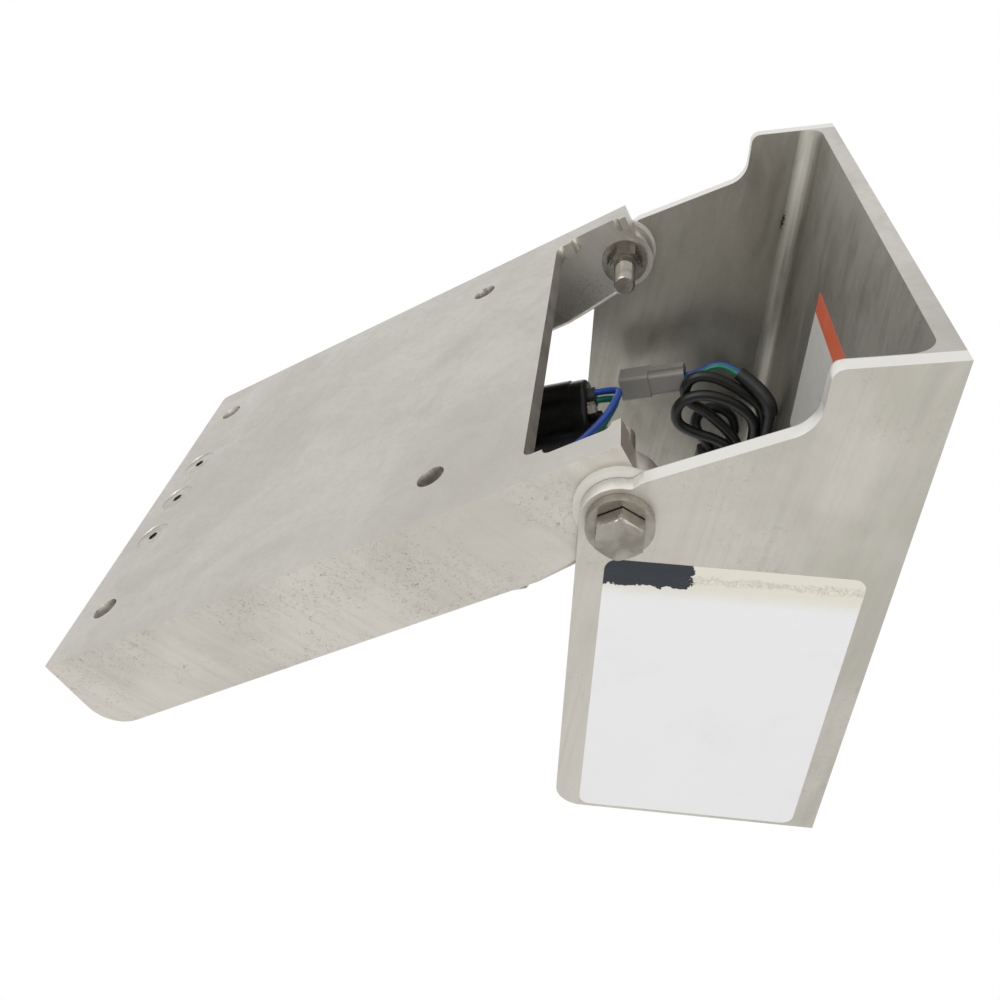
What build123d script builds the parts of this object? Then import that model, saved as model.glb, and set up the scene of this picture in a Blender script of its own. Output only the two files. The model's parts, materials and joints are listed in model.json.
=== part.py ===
from build123d import *
import math
import os

# Power trim and tilt unit for an outboard motor.
# Every length is in millimetres and every angle in degrees.
# X runs along the tilt hinge, +Y towards the low end of the transom plate, +Z up.
# The origin is on the surface the unit stands on, in the middle of the unit.
# Most pieces are drawn about the hinge axis with the unit closed, where the transom
# plate and the back plate of the motor bracket are upright and parallel.

# Working position
opening = 60.0                   # between the transom plate and the back plate
tilt_closed = -58.0              # from the working position to the closed stop

# Motor bracket
bracket_width = 297.0
bracket_plate = 7.94
bracket_setback = 113.2          # hinge axis to the outer face of the back plate
bracket_front = 16.2             # hinge axis to the front edge of the side walls
bracket_top = 81.2
bracket_bottom = 181.2
bracket_inside_round = 11.0
bracket_corner = 12.7
horn_depth = 45.3                # of the raised part along the top of the back plate
horn_slope = 9.4
horn_round = 5.0
ledge_rise = 16.3                # height of the sloping edge above the hinge axis
ledge_slope = 25.6
ledge_start = 7.1
ledge_sweep = 14.0
ear_notch_round = 3.0

# Transom plate
plate_thick = 7.94
plate_face = 26.7                # hinge axis to the face that meets the transom
plate_low_edge = 21.6            # from the low row of bolts to the low end
plate_top_end = 12.4
plate_corner = 3.0
flange_depth = 50.7
flange_thick = 15.9
flange_corner = 19.0
flange_ear_radius = 17.5
flange_taper_end = 50.0
window_edge = 33.2
window_lip = 4.5                 # how far the plate stands inside the arms at their ends
window_lip_low = 24.0
window_lip_high = 8.0
window_round = 4.0

# Bolting to the transom
hole_spacing = 203.2
hole_diameter = 14.28
hole_row_low = 285.8

# Flat head screws of the lower bracket
screw_spacing = 38.1
screw_diameter = 9.525
screw_head_diameter = 20.6
screw_head_angle = 82.0
screw_sink = 0.6
screw_length = 15.5
screw_socket = 5.56
screw_socket_depth = 3.6
screw_count = 3

# Hinge bolts
bolt_diameter = 12.7
bolt_length = 69.85
bolt_head_width = 19.05
bolt_head_height = 7.9
bolt_clearance = 0.1
hex_face_share = 0.97            # round end face of a bolt head, of its width
bolt_end_chamfer = 1.2
washer_diameter = 28.0
washer_thick = 2.3
washer_count = 2
inner_washer_thick = 2.5
nut_width = 19.05
nut_hex_height = 8.6
nut_collar_height = 3.4
nut_collar_diameter = 17.6
thrust_diameter = 39.0
thrust_thick = 2.91
thrust_gap = 0.15
bush_outer = 15.88
bush_running = 0.05

# Actuator pivots
lower_pin_rise = 15.8            # of the lower pin above the low row of bolts
lower_pin_offset = -6.0          # out of the hinge axis, towards the transom
upper_pin_setback = 74.0         # hinge axis to the upper pin, towards the back plate
upper_pin_drop = 48.0
pin_diameter = 12.7
pin_running = 0.05
pin_overhang = 4.5
clip_thick = 1.2
clip_diameter = 18.0
clip_groove = 1.1
clip_mouth = 8.9
pin_chamfer = 1.0

# Lower bracket
foot_thick = 9.5
foot_width = 128.0
foot_margin = 16.2               # of the foot beyond the screws and beyond the pin
lug_round = 14.0
lug_flare = 4.0
lug_thick = 12.0
eye_width = 76.0
eye_side_gap = 0.5
eye_bush_diameter = 17.5

# Upper clevis
clevis_foot_thick = 6.0
clevis_foot_width = 66.0
clevis_foot_height = 44.0
clevis_ear_thick = 8.3
clevis_ear_round = 12.0
clevis_ear_flare = 8.0
clevis_screw_diameter = 6.35
clevis_screw_head = 10.0
clevis_screw_head_height = 3.6
clevis_screw_inset = 6.0

# Hydraulic cylinder, measured from the lower pin along its axis
cylinder_side = -58.0            # of the cylinder's axis from the middle of the unit
manifold_start = 17.0
manifold_height = 28.0
manifold_depth = 50.0
manifold_round = 8.0
manifold_margin = 1.5            # of the block beyond the pipe nut and the reservoir
tube_outer = 50.8
tube_bore = 41.2
tube_end = 180.0
gland_depth = 20.0
gland_collar = 52.4
gland_collar_length = 13.0
gland_slot_width = 6.0
gland_slot_depth = 3.0
gland_slots = 4
wiper_height = 3.0
wiper_wall = 3.5
rod_diameter = 19.05
rod_running = 0.05
piston_length = 18.0
piston_clearance = 0.1
piston_retracted_gap = 3.0
ring_width = 3.2
ring_depth = 2.6
rod_eye_wall = 4.5
rod_eye_width = 25.0
rod_eye_side_gap = 0.7
rod_eye_play = 7.0               # radial room that the single straight pull of the rod needs
rod_eye_neck = 13.0
rod_eye_neck_length = 14.0
rod_socket_depth = 12.0
rod_travel_rate = 80.17          # of rod travel for one radian of tilt

# Electric pump beside the cylinder
motor_side = 54.5
motor_drop = 2.7
motor_diameter = 54.0
reservoir_diameter = 53.0
reservoir_length = 50.0
motor_case_length = 124.0
motor_cap_length = 10.5
motor_cap_lip = 0.8
motor_cap_round = 3.0
motor_bolt_circle = 40.0
motor_bolt_angle = 129.0
motor_bolt_head = 8.0
motor_bolt_head_height = 4.4
terminal_width = 16.0
terminal_height = 11.0
terminal_depth = 7.0
terminal_round = 1.5
grommet_diameter = 12.0
grommet_height = 4.0
fill_plug_width = 14.0
fill_plug_height = 6.0
fill_plug_place = 27.0           # above the manifold
fill_plug_shank = 10.0
relief_diameter = 14.0
relief_height = 5.0
relief_slot_width = 2.0
relief_slot_depth = 2.0
pressure_pipe = 6.35
pressure_pipe_gap = 3.6
pipe_nut = 11.0
pipe_nut_length = 9.0
port_below_end = 20.0            # from the end of the tube to the foot of the port
port_height = 13.0
port_width = 16.0
port_reach = 7.0

# Motor leads
lead_diameter = 4.2
lead_pitch = 5.4
lead_plug_length = 34.0
lead_plug_width = 18.0
lead_plug_height = 13.0
lead_plug_low = 120.0
lead_plug_round = 2.5
strap_room = 0.3                 # between the strap and the plug in it
strap_sink = 7.4                 # of the strap's square part into the cylinder's outline
lead_exit = (2.5, 15.2)          # from the motor axis
lead_rise = 19.5                 # of the lower lead above its boot
lead_spread = 4.6                # how much higher the upper lead stands
lead_bends = ((34.0, 3.0, 1.0), (8.0, 3.3, 10.5), (-34.0, 9.5, 37.0))  # X, outward, below the crest
lead_landing = 36.0              # of the last bend above the plug
terminal_place = (-13.0, 4.0)    # from the motor axis

# Loose harness
cable_diameter = 7.0
cable_route = ((109.0, 76.0, 123.0), (107.0, 89.0, 122.5), (103.0, 100.0, 113.0),
               (98.0, 103.0, 98.0), (95.0, 102.0, 80.0))
hank_near_side = 84.0
hank_width = 16.4
hank_gap = 0.3                   # to the back plate that the hank leans on
hank_height = 112.0
hank_arm = 28.0                  # thickness of the hank from front to back
hank_reach = 70.0                # from its back to the tip of the part that hangs over
hank_overhang = 76.0             # height of the underside of that part
hank_shoulder = 14.0
hank_round = 8.0
wire_diameter = 3.4
wire_pitch = 4.4
wire_straight = 8.0
plug_middle = (110.6, 30.5, 106.5)
plug_tilt = 20.0
plug_yaw = 6.0
plug_length = 42.0
plug_width = 15.0
plug_height = 15.0
plug_round = 3.0
plug_hood_length = 19.0          # of the wider front part
plug_hood_step = 1.0
plug_latch_width = 6.0
plug_latch_height = 1.6
seal_length = 5.0
seal_depth = 2.0                 # how far the seal sits in the back of its plug
seal_wall = 1.8
seal_round = 2.0
second_plug_low = 26.0
second_plug_length = 44.0
tie_width = 4.6
tie_thick = 1.4
tie_place = 48.0                 # height of the tie on the hank
tie_lock_length = 5.0
tie_lock_height = 3.0


def rounded(face, place, radius):
    """Round the corner of a face that lies nearest to a place."""
    spot = Vector(place[0], place[1], 0)
    corner = min(face.vertices(), key=lambda v: (Vector(v.X, v.Y, 0) - spot).length)
    return fillet(corner, radius)


def side_slab(face, start, thick):
    """Extrude a face drawn in Y and Z along X, from start."""
    return extrude(Plane.YZ.offset(start) * face, thick)


def rod_along_x(radius, start, end, y=0.0, z=0.0):
    """A round bar along X."""
    length = end - start
    return Pos((start + end) / 2, y, z) * Rot(0, 90, 0) * Cylinder(radius, length)


def both_sides(shape):
    """A piece and its mirror image on the other side of the unit."""
    return [shape, shape.mirror(Plane.YZ)]


# Places that follow from the sizes above
half_bracket = bracket_width / 2
wall_inside = half_bracket - bracket_plate
half_plate = wall_inside - thrust_gap - thrust_thick
flange_inside = half_plate - flange_thick
back_inside = bracket_setback - bracket_plate
plate_back = plate_face - plate_thick
plate_low_end = hole_row_low + plate_low_edge
lower_pin_drop = hole_row_low - lower_pin_rise
flange_edge = plate_face - flange_depth
bolt_seat = half_bracket + thrust_gap + washer_count * washer_thick
foot_face = plate_back - foot_thick


def turned(y, z, angle):
    """A point of the Y-Z plane, turned about the hinge axis."""
    a = math.radians(angle)
    return y * math.cos(a) - z * math.sin(a), y * math.sin(a) + z * math.cos(a)


# The unit stands like a letter A on the round low corners of the plate and the bracket.
# The surface it stands on touches both corner circles.
bracket_foot = (bracket_front - bracket_corner, bracket_corner - bracket_bottom)
plate_foot = turned(flange_edge + flange_corner, flange_corner - plate_low_end, opening)
foot_run = plate_foot[0] - bracket_foot[0]
foot_rise = plate_foot[1] - bracket_foot[1]
foot_gap = math.hypot(foot_run, foot_rise)
lean = math.degrees(math.atan2(foot_rise, foot_run)
                    - math.asin((flange_corner - bracket_corner) / foot_gap))
hinge_height = bracket_corner - turned(*bracket_foot, -lean)[1]

reach_plate = turned(*turned(plate_face, -plate_low_end, opening), -lean)[0]
reach_back = turned(-bracket_setback, -bracket_bottom, -lean)[0]
hinge_y = -(reach_plate + reach_back) / 2


def stand(shape):
    """Move a piece from the hinge axis to its place in the standing unit."""
    return Pos(0, hinge_y, hinge_height) * Rot(-lean, 0, 0) * shape


def stand_plate(shape):
    """The same for a piece of the transom side, which is swung open."""
    return stand(Rot(opening, 0, 0) * shape)


# The actuator hangs between the lower pin and the upper pin.
lower_pin = turned(lower_pin_offset, -lower_pin_drop, opening)
upper_pin = (-upper_pin_setback, -upper_pin_drop)
pin_run = upper_pin[0] - lower_pin[0]
pin_rise = upper_pin[1] - lower_pin[1]
pin_gap = math.hypot(pin_run, pin_rise)
actuator_angle = math.degrees(math.atan2(-pin_run, pin_rise))


in_line = Pos(cylinder_side, 0, 0)


def stand_actuator(shape):
    """Move a piece from the lower pin, with its axis along Z, to its place."""
    return stand(Pos(0, lower_pin[0], lower_pin[1]) * Rot(actuator_angle, 0, 0) * shape)


def stand_cylinder(shape):
    """The same for a piece drawn about the cylinder's own axis."""
    return stand_actuator(in_line * shape)


def ledge_height(y):
    return ledge_rise - y * math.tan(math.radians(ledge_slope))


def bracket_outline():
    """Side wall of the motor bracket, in Y and Z about the hinge."""
    horn_front = horn_depth - bracket_setback
    horn_drop = horn_depth * math.tan(math.radians(horn_slope))
    horn_corner = (horn_front, bracket_top - horn_drop)
    ledge_corner = (horn_front, ledge_height(horn_front))
    ledge_first = (-ledge_start, ledge_height(-ledge_start))
    ear_end_angle = math.radians(100)
    ear_end = (bracket_front * math.cos(ear_end_angle), bracket_front * math.sin(ear_end_angle))
    ear = CenterArc((0, 0), bracket_front, 0, 100)
    edge = Polyline(ear_end, ledge_first, ledge_corner, horn_corner,
                    (-bracket_setback, bracket_top), (-bracket_setback, -bracket_bottom),
                    (bracket_front, -bracket_bottom), (bracket_front, 0))
    face = make_face([ear, edge])
    face = rounded(face, ear_end, ear_notch_round)
    face = rounded(face, ledge_first, ear_notch_round)
    face = rounded(face, ledge_corner, ledge_sweep)
    face = rounded(face, horn_corner, horn_round)
    return rounded(face, (bracket_front, -bracket_bottom), bracket_corner)


def clevis_screw_places():
    across = clevis_foot_width / 2 - clevis_screw_inset
    along = clevis_foot_height / 2 - clevis_screw_inset
    return [(cylinder_side + sx * across, sz * along - upper_pin_drop)
            for sx in (-1, 1) for sz in (-1, 1)]


def motor_bracket():
    body = side_slab(bracket_outline(), -half_bracket, bracket_width)
    room_height = 2 * (bracket_top + bracket_bottom)
    room_depth = 2 * bracket_setback
    room = Pos(0, room_depth / 2 - back_inside, 0) * Box(2 * wall_inside, room_depth, room_height)
    inner = room.edges().filter_by(Axis.Z).group_by(Axis.Y)[0]
    body -= fillet(inner, bracket_inside_round)
    for side in both_sides(rod_along_x(bush_outer / 2, wall_inside - 1, half_bracket + 1)):
        body -= side
    for x, z in clevis_screw_places():
        drill = Cylinder(clevis_screw_diameter / 2, 4 * bracket_plate)
        body -= Pos(x, -bracket_setback, z) * Rot(90, 0, 0) * drill
    return stand(body)


def flange_outline():
    """Side flange of the transom plate with its hinge ear."""
    meet = math.sqrt(flange_ear_radius ** 2 - plate_top_end ** 2)
    first = math.degrees(math.atan2(plate_top_end, meet))
    ear = CenterArc((0, 0), flange_ear_radius, first, 180 - first)
    edge = Polyline((-flange_ear_radius, 0), (flange_edge, -flange_taper_end),
                    (flange_edge, -plate_low_end), (plate_face, -plate_low_end),
                    (plate_face, plate_top_end), (meet, plate_top_end))
    face = make_face([ear, edge])
    face = rounded(face, (flange_edge, -flange_taper_end), flange_corner)
    return rounded(face, (flange_edge, -plate_low_end), flange_corner)


def window_cutter():
    """Room between the arms, with the lips that the plate keeps at both ends."""
    lip = flange_inside - window_lip
    deep = 3 * plate_face
    high = plate_top_end + 2 * window_edge
    narrow = Pos(0, 0, high / 2 - window_edge) * Box(2 * lip, deep, high)
    narrow = fillet(narrow.edges().filter_by(Axis.Y).group_by(Axis.Z)[0], window_round)
    wide_height = window_lip_low + window_lip_high
    wide_place = (window_lip_high - window_lip_low) / 2
    wide = Pos(0, 0, wide_place) * Box(2 * flange_inside, deep, wide_height)
    wide = fillet(wide.edges().filter_by(Axis.Y), window_round)
    return narrow + wide


def transom_hole_places():
    half = hole_spacing / 2
    return [(sx * half, hole_spacing * row - hole_row_low) for sx in (-1, 1) for row in (0, 1)]


def screw_places():
    first = -(screw_count - 1) / 2
    return [(screw_spacing * (first + i), -hole_row_low) for i in range(screw_count)]


def screw_blank(head_extra, shank_extra, length):
    """Countersunk screw shape with its head face at zero and its tip along -Z."""
    head = screw_head_diameter / 2 + head_extra
    shank = screw_diameter / 2 + shank_extra
    slope = math.tan(math.radians(screw_head_angle / 2))
    depth = (head - shank) / slope
    profile = Polyline((0, 0), (head, 0), (shank, -depth), (shank, -length), (0, -length), close=True)
    return revolve(Plane.XZ * make_face(profile), Axis.Z)


def on_plate_face(shape, x, z, sink=0.0):
    """Put a piece drawn along -Z into the outer face of the plate."""
    return Pos(x, plate_face - sink, z) * Rot(-90, 0, 0) * shape


def transom_plate():
    sheet_height = plate_low_end + plate_top_end
    sheet_place = (plate_top_end - plate_low_end) / 2
    sheet = Pos(0, plate_face - plate_thick / 2, sheet_place)
    sheet = sheet * Box(2 * (half_plate - flange_thick / 2), plate_thick, sheet_height)
    sheet -= window_cutter()
    body = sheet
    for flange in both_sides(side_slab(flange_outline(), flange_inside, flange_thick)):
        body += flange
    low = body.edges().filter_by(Axis.Y).group_by(Axis.Z)[0]
    body = fillet(low, plate_corner)
    bolt_room = rod_along_x(bolt_diameter / 2 + bolt_clearance, flange_inside - 1, half_plate + 1)
    for side in both_sides(bolt_room):
        body -= side
    for x, z in transom_hole_places():
        body -= on_plate_face(Cylinder(hole_diameter / 2, 4 * plate_thick), x, z)
    for x, z in screw_places():
        body -= on_plate_face(screw_blank(screw_sink, 0.0, 2 * plate_thick), x, z)
    return stand_plate(body)


def bracket_screw():
    screw = screw_blank(0.0, 0.0, screw_length)
    socket = extrude(RegularPolygon(screw_socket / 2, 6, major_radius=False), -screw_socket_depth)
    return screw - socket


def bracket_screws():
    return [stand_plate(on_plate_face(bracket_screw(), x, z, screw_sink)) for x, z in screw_places()]


def lug_outline(pin, seat, half_width, radius):
    """A lug that rounds a pin and stands on a seat at Y = seat."""
    toward = math.copysign(1, seat - pin[0])
    arc = ThreePointArc((pin[0], pin[1] + radius), (pin[0] - toward * radius, pin[1]),
                        (pin[0], pin[1] - radius))
    edge = Polyline((pin[0], pin[1] - radius), (seat, pin[1] - half_width),
                    (seat, pin[1] + half_width), (pin[0], pin[1] + radius))
    return make_face([arc, edge])


def actuator_bracket():
    """Foot and two lugs that carry the lower pin."""
    pin = (lower_pin_offset, -lower_pin_drop)
    foot_low = max(hole_row_low, lower_pin_drop) + foot_margin
    foot_high = min(hole_row_low, lower_pin_drop) - foot_margin
    height = foot_low - foot_high
    foot = Pos(0, plate_back - foot_thick / 2, -(foot_low + foot_high) / 2)
    foot = foot * Box(foot_width, foot_thick, height)
    foot = fillet(foot.edges().filter_by(Axis.Y), plate_corner)
    lug_start = eye_width / 2 + eye_side_gap
    lug_foot = min(foot_low - lower_pin_drop, lower_pin_drop - foot_high)
    outline = lug_outline(pin, foot_face, min(lug_round + lug_flare, lug_foot), lug_round)
    body = foot
    for lug in both_sides(side_slab(outline, lug_start, lug_thick)):
        body += lug
    reach = lug_start + lug_thick + 1
    body -= rod_along_x(pin_diameter / 2, -reach, reach, *pin)
    for x, z in screw_places():
        depth = screw_length + screw_sink - plate_thick
        drill = Cylinder(screw_diameter / 2, 2 * depth)
        body -= Pos(x, plate_back, z) * Rot(90, 0, 0) * drill
    return stand_plate(body)


def grooved_pin(half_grip, place):
    """A pin along X with a clip groove outside each lug."""
    end = half_grip + clip_thick + pin_overhang
    pin = rod_along_x(pin_diameter / 2, -end, end, *place)
    pin = chamfer(pin.edges().filter_by(GeomType.CIRCLE), pin_chamfer)
    ring = rod_along_x(pin_diameter, half_grip, half_grip + clip_thick, *place)
    core = rod_along_x(pin_diameter / 2 - clip_groove, half_grip, half_grip + clip_thick, *place)
    for groove in both_sides(ring - core):
        pin -= groove
    return pin


def pin_clips(half_grip, place):
    """Two retaining clips with an open side, seated in the grooves."""
    ring = rod_along_x(clip_diameter / 2, half_grip, half_grip + clip_thick, *place)
    ring -= rod_along_x(pin_diameter / 2 - clip_groove, half_grip - 1, half_grip + 3, *place)
    mouth = Pos(half_grip, place[0], place[1] - clip_diameter / 2)
    ring -= mouth * Box(4 * clip_thick, clip_mouth, clip_diameter)
    return both_sides(ring)


lower_grip = eye_width / 2 + eye_side_gap + lug_thick
upper_grip = rod_eye_width / 2 + rod_eye_side_gap + clevis_ear_thick


def lower_pivot_pin():
    return stand_plate(grooved_pin(lower_grip, (lower_pin_offset, -lower_pin_drop)))


def lower_pin_clips():
    return [stand_plate(c) for c in pin_clips(lower_grip, (lower_pin_offset, -lower_pin_drop))]


def upper_pivot_pin():
    return stand(in_line * grooved_pin(upper_grip, upper_pin))


def upper_pin_clips():
    return [stand(in_line * c) for c in pin_clips(upper_grip, upper_pin)]


def upper_clevis():
    """Foot and two ears on the inside of the back plate."""
    seat = -back_inside + clevis_foot_thick
    foot = Pos(0, -back_inside + clevis_foot_thick / 2, -upper_pin_drop)
    foot = foot * Box(clevis_foot_width, clevis_foot_thick, clevis_foot_height)
    foot = fillet(foot.edges().filter_by(Axis.Y), plate_corner)
    outline = lug_outline(upper_pin, seat, clevis_ear_round + clevis_ear_flare, clevis_ear_round)
    body = foot
    for ear in both_sides(side_slab(outline, upper_grip - clevis_ear_thick, clevis_ear_thick)):
        body += ear
    body -= rod_along_x(pin_diameter / 2, -upper_grip - 1, upper_grip + 1, *upper_pin)
    body = in_line * body
    for x, z in clevis_screw_places():
        drill = Cylinder(clevis_screw_diameter / 2, 4 * clevis_foot_thick)
        body -= Pos(x, seat, z) * Rot(90, 0, 0) * drill
    return stand(body)


def clevis_screws():
    """Cap screws from inside, flush with the outer face of the back plate."""
    length = clevis_foot_thick + bracket_plate
    shank = Pos(0, 0, -length / 2) * Cylinder(clevis_screw_diameter / 2, length)
    head = Pos(0, 0, clevis_screw_head_height / 2)
    head = head * Cylinder(clevis_screw_head / 2, clevis_screw_head_height)
    socket = RegularPolygon(clevis_screw_head / 4, 6, major_radius=False)
    socket = extrude(socket, 2 * clevis_screw_head_height)
    screw = shank + head - Pos(0, 0, clevis_screw_head_height / 3) * socket
    seat = -back_inside + clevis_foot_thick
    return [stand(Pos(x, seat, z) * Rot(-90, 0, 0) * screw) for x, z in clevis_screw_places()]


def ring_along_x(outer, bore, start, thick):
    return rod_along_x(outer, start, start + thick) - rod_along_x(bore, start - 1, start + thick + 1)


def hex_along_x(width, start, thick):
    """A hexagon with chamfered corners along X."""
    face = RegularPolygon(width / 2, 6, major_radius=False)
    prism = extrude(Plane.YZ.offset(start) * face, thick)
    corner = width / math.sqrt(3)
    cone = Pos(start + thick / 2, 0, 0) * Rot(0, 90, 0)
    cone = cone * Cone(corner + 2 * thick, hex_face_share * width / 2, thick)
    return prism & cone


def hinge_bolts():
    shank_end = bolt_seat - bolt_length
    shank = rod_along_x(bolt_diameter / 2, shank_end, bolt_seat)
    shank = chamfer(shank.edges().group_by(Axis.X)[0], bolt_end_chamfer)
    bolt = shank + hex_along_x(bolt_head_width, bolt_seat, bolt_head_height)
    return [stand_plate(b) for b in both_sides(bolt)]


def outer_washers():
    first = half_bracket + thrust_gap
    rings = [ring_along_x(washer_diameter / 2, bolt_diameter / 2, first + i * washer_thick, washer_thick)
             for i in range(washer_count)]
    return [stand_plate(w) for ring in rings for w in both_sides(ring)]


def thrust_washers():
    thick = wall_inside - half_plate - thrust_gap
    ring = ring_along_x(thrust_diameter / 2, bolt_diameter / 2, half_plate, thick)
    return [stand_plate(w) for w in both_sides(ring)]


def hinge_bushes():
    bush = ring_along_x(bush_outer / 2, bolt_diameter / 2 + bush_running, wall_inside, bracket_plate)
    return [stand(b) for b in both_sides(bush)]


def inner_washers():
    start = flange_inside - inner_washer_thick
    ring = ring_along_x(washer_diameter / 2, bolt_diameter / 2, start, inner_washer_thick)
    return [stand_plate(w) for w in both_sides(ring)]


def lock_nuts():
    start = flange_inside - inner_washer_thick
    face = RegularPolygon(nut_width / 2, 6, major_radius=False)
    body = extrude(Plane.YZ.offset(start - nut_hex_height) * face, nut_hex_height)
    collar_start = start - nut_hex_height - nut_collar_height
    body += rod_along_x(nut_collar_diameter / 2, collar_start, start - nut_hex_height)
    body -= rod_along_x(bolt_diameter / 2, collar_start - 1, start + 1)
    return [stand_plate(n) for n in both_sides(body)]


# Actuator pieces, along Z from the lower pin, +Y towards the transom plate
manifold_end = manifold_start + manifold_height
reservoir_end = manifold_end + reservoir_length
motor_seam = reservoir_end + motor_case_length
motor_end = motor_seam + motor_cap_length
pipe_x = -(tube_outer + pressure_pipe) / 2 - pressure_pipe_gap
near_end = cylinder_side + pipe_x - pipe_nut / math.sqrt(3) - manifold_margin
far_end = motor_side + reservoir_diameter / 2 + manifold_margin
port_low = tube_end - port_below_end
rod_eye_bore = pin_diameter / 2 + rod_eye_play
rod_eye_outer = rod_eye_bore + rod_eye_wall
closing_travel = rod_travel_rate * math.radians(-tilt_closed)
piston_place = manifold_end + piston_retracted_gap + closing_travel
motor_spot = Pos(motor_side, -motor_drop, 0)


def upright(radius, start, end, bore=0.0):
    """A round bar or tube along Z."""
    bar = Pos(0, 0, (start + end) / 2) * Cylinder(radius, end - start)
    if bore > 0:
        bar -= Pos(0, 0, (start + end) / 2) * Cylinder(bore, end - start + 2)
    return bar


def manifold_block():
    """Cast base with the lower eye, the cylinder seat and the pump seat."""
    block = Pos((near_end + far_end) / 2, -motor_drop / 2, manifold_start + manifold_height / 2)
    block = block * Box(far_end - near_end, manifold_depth, manifold_height)
    block = fillet(block.edges().filter_by(Axis.Z), manifold_round)
    lug = Pos(0, 0, manifold_start / 2) * Box(eye_width, 2 * lug_round, manifold_start)
    lug += rod_along_x(lug_round, -eye_width / 2, eye_width / 2)
    block += lug
    block -= rod_along_x(eye_bush_diameter / 2, -eye_width, eye_width)
    return stand_actuator(block)


def lower_eye_bush():
    bore = pin_diameter / 2 + pin_running
    return stand_actuator(ring_along_x(eye_bush_diameter / 2, bore, -eye_width / 2, eye_width))


def cylinder_tube():
    """Tube with the port of the pressure line near its upper end."""
    port_x = pipe_x - port_reach / 2
    port = Pos(port_x / 2, 0, port_low + port_height / 2) * Box(-port_x, port_width, port_height)
    body = upright(tube_outer / 2, manifold_end, tube_end) + port
    body -= upright(tube_bore / 2, manifold_end - 1, tube_end + 1)
    return stand_cylinder(body)


def gland():
    """Screwed end of the cylinder, with slots for a pin spanner."""
    collar_end = tube_end + gland_collar_length
    body = upright(gland_collar / 2, tube_end, collar_end)
    body += upright(tube_bore / 2, tube_end - gland_depth, tube_end)
    body -= upright(rod_diameter / 2 + rod_running, 0, pin_gap)
    seat = Pos(0, 0, collar_end - wiper_height / 2)
    body -= seat * Cylinder(rod_diameter / 2 + wiper_wall, wiper_height)
    for i in range(gland_slots):
        turn = Rot(0, 0, 45 + i * 360 / gland_slots)
        slot = Pos(gland_collar / 2, 0, collar_end)
        slot = slot * Box(2 * gland_slot_depth, gland_slot_width, 2 * wiper_height)
        body -= turn * slot
    return stand_cylinder(body)


def rod_wiper():
    end = tube_end + gland_collar_length
    ring = upright(rod_diameter / 2 + wiper_wall, end - wiper_height, end, rod_diameter / 2 + rod_running)
    return stand_cylinder(ring)


def piston():
    body = upright(tube_bore / 2 - piston_clearance, piston_place, piston_place + piston_length)
    middle = piston_place + (piston_length - ring_width) / 2
    outer = tube_bore / 2 + 1
    body -= upright(outer, middle, middle + ring_width, tube_bore / 2 - ring_depth)
    body -= upright(rod_diameter / 2, piston_place - 1, piston_place + piston_length + 1)
    return stand_cylinder(body)


def piston_ring():
    middle = piston_place + (piston_length - ring_width) / 2
    outer = tube_bore / 2 - rod_running
    return stand_cylinder(upright(outer, middle, middle + ring_width, tube_bore / 2 - ring_depth))


def piston_rod():
    neck_start = pin_gap - rod_eye_outer - rod_eye_neck_length
    rod = upright(rod_diameter / 2, piston_place, neck_start + rod_socket_depth)
    return stand_cylinder(rod)


def rod_eye():
    """Cross tube at the end of the rod, which rounds the upper pin."""
    half = rod_eye_width / 2
    tube = rod_along_x(rod_eye_outer, -half, half, 0, pin_gap)
    neck_start = pin_gap - rod_eye_outer - rod_eye_neck_length
    body = tube + upright(rod_eye_neck, neck_start, pin_gap - rod_eye_bore - 1)
    body -= rod_along_x(rod_eye_bore, -half - 1, half + 1, 0, pin_gap)
    body -= upright(rod_diameter / 2, neck_start - 1, neck_start + rod_socket_depth)
    return stand_cylinder(body)


fill_plug_spot = motor_spot * Pos(0, reservoir_diameter / 2, manifold_end + fill_plug_place)


def reservoir():
    """Pump and oil reservoir between the manifold and the motor."""
    body = motor_spot * upright(reservoir_diameter / 2, manifold_end, reservoir_end)
    drill = Cylinder(fill_plug_shank / 2, 2 * fill_plug_height)
    body -= fill_plug_spot * Rot(90, 0, 0) * drill
    return stand_actuator(body)


def fill_plug():
    """Hexagon plug in the side of the reservoir."""
    face = RegularPolygon(fill_plug_width / 2, 6, major_radius=False)
    plug = extrude(face, fill_plug_height)
    plug += Pos(0, 0, -fill_plug_height / 2) * Cylinder(fill_plug_shank / 2, fill_plug_height)
    return stand_actuator(fill_plug_spot * Rot(-90, 0, 0) * plug)


def relief_screw():
    """Manual release screw in the near end of the manifold."""
    middle = manifold_start + manifold_height / 2
    head = rod_along_x(relief_diameter / 2, near_end - relief_height, near_end, 0, middle)
    head = chamfer(head.edges().group_by(Axis.X)[0], pin_chamfer)
    slot = Pos(near_end - relief_height, 0, middle)
    slot = slot * Box(2 * relief_slot_depth, 2 * relief_diameter, relief_slot_width)
    return stand_actuator(head - slot)


def motor_case():
    body = upright(motor_diameter / 2, reservoir_end, motor_seam)
    return stand_actuator(motor_spot * body)


def motor_bolt_places():
    x = motor_bolt_circle / 2 * math.cos(math.radians(motor_bolt_angle))
    y = motor_bolt_circle / 2 * math.sin(math.radians(motor_bolt_angle))
    return [(x, y), (-x, -y)]


def motor_end_cap():
    """Brush end cap with a lip over the case."""
    cap = upright(motor_diameter / 2 - motor_cap_lip, motor_seam, motor_end)
    cap = fillet(cap.edges().group_by(Axis.Z)[-1], motor_cap_round)
    return stand_actuator(motor_spot * cap)


def motor_bolts():
    """Heads of the two through bolts of the motor."""
    face = RegularPolygon(motor_bolt_head / 2, 6, major_radius=False)
    head = extrude(face, motor_bolt_head_height)
    return [stand_actuator(motor_spot * Pos(x, y, motor_end) * head) for x, y in motor_bolt_places()]


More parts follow.
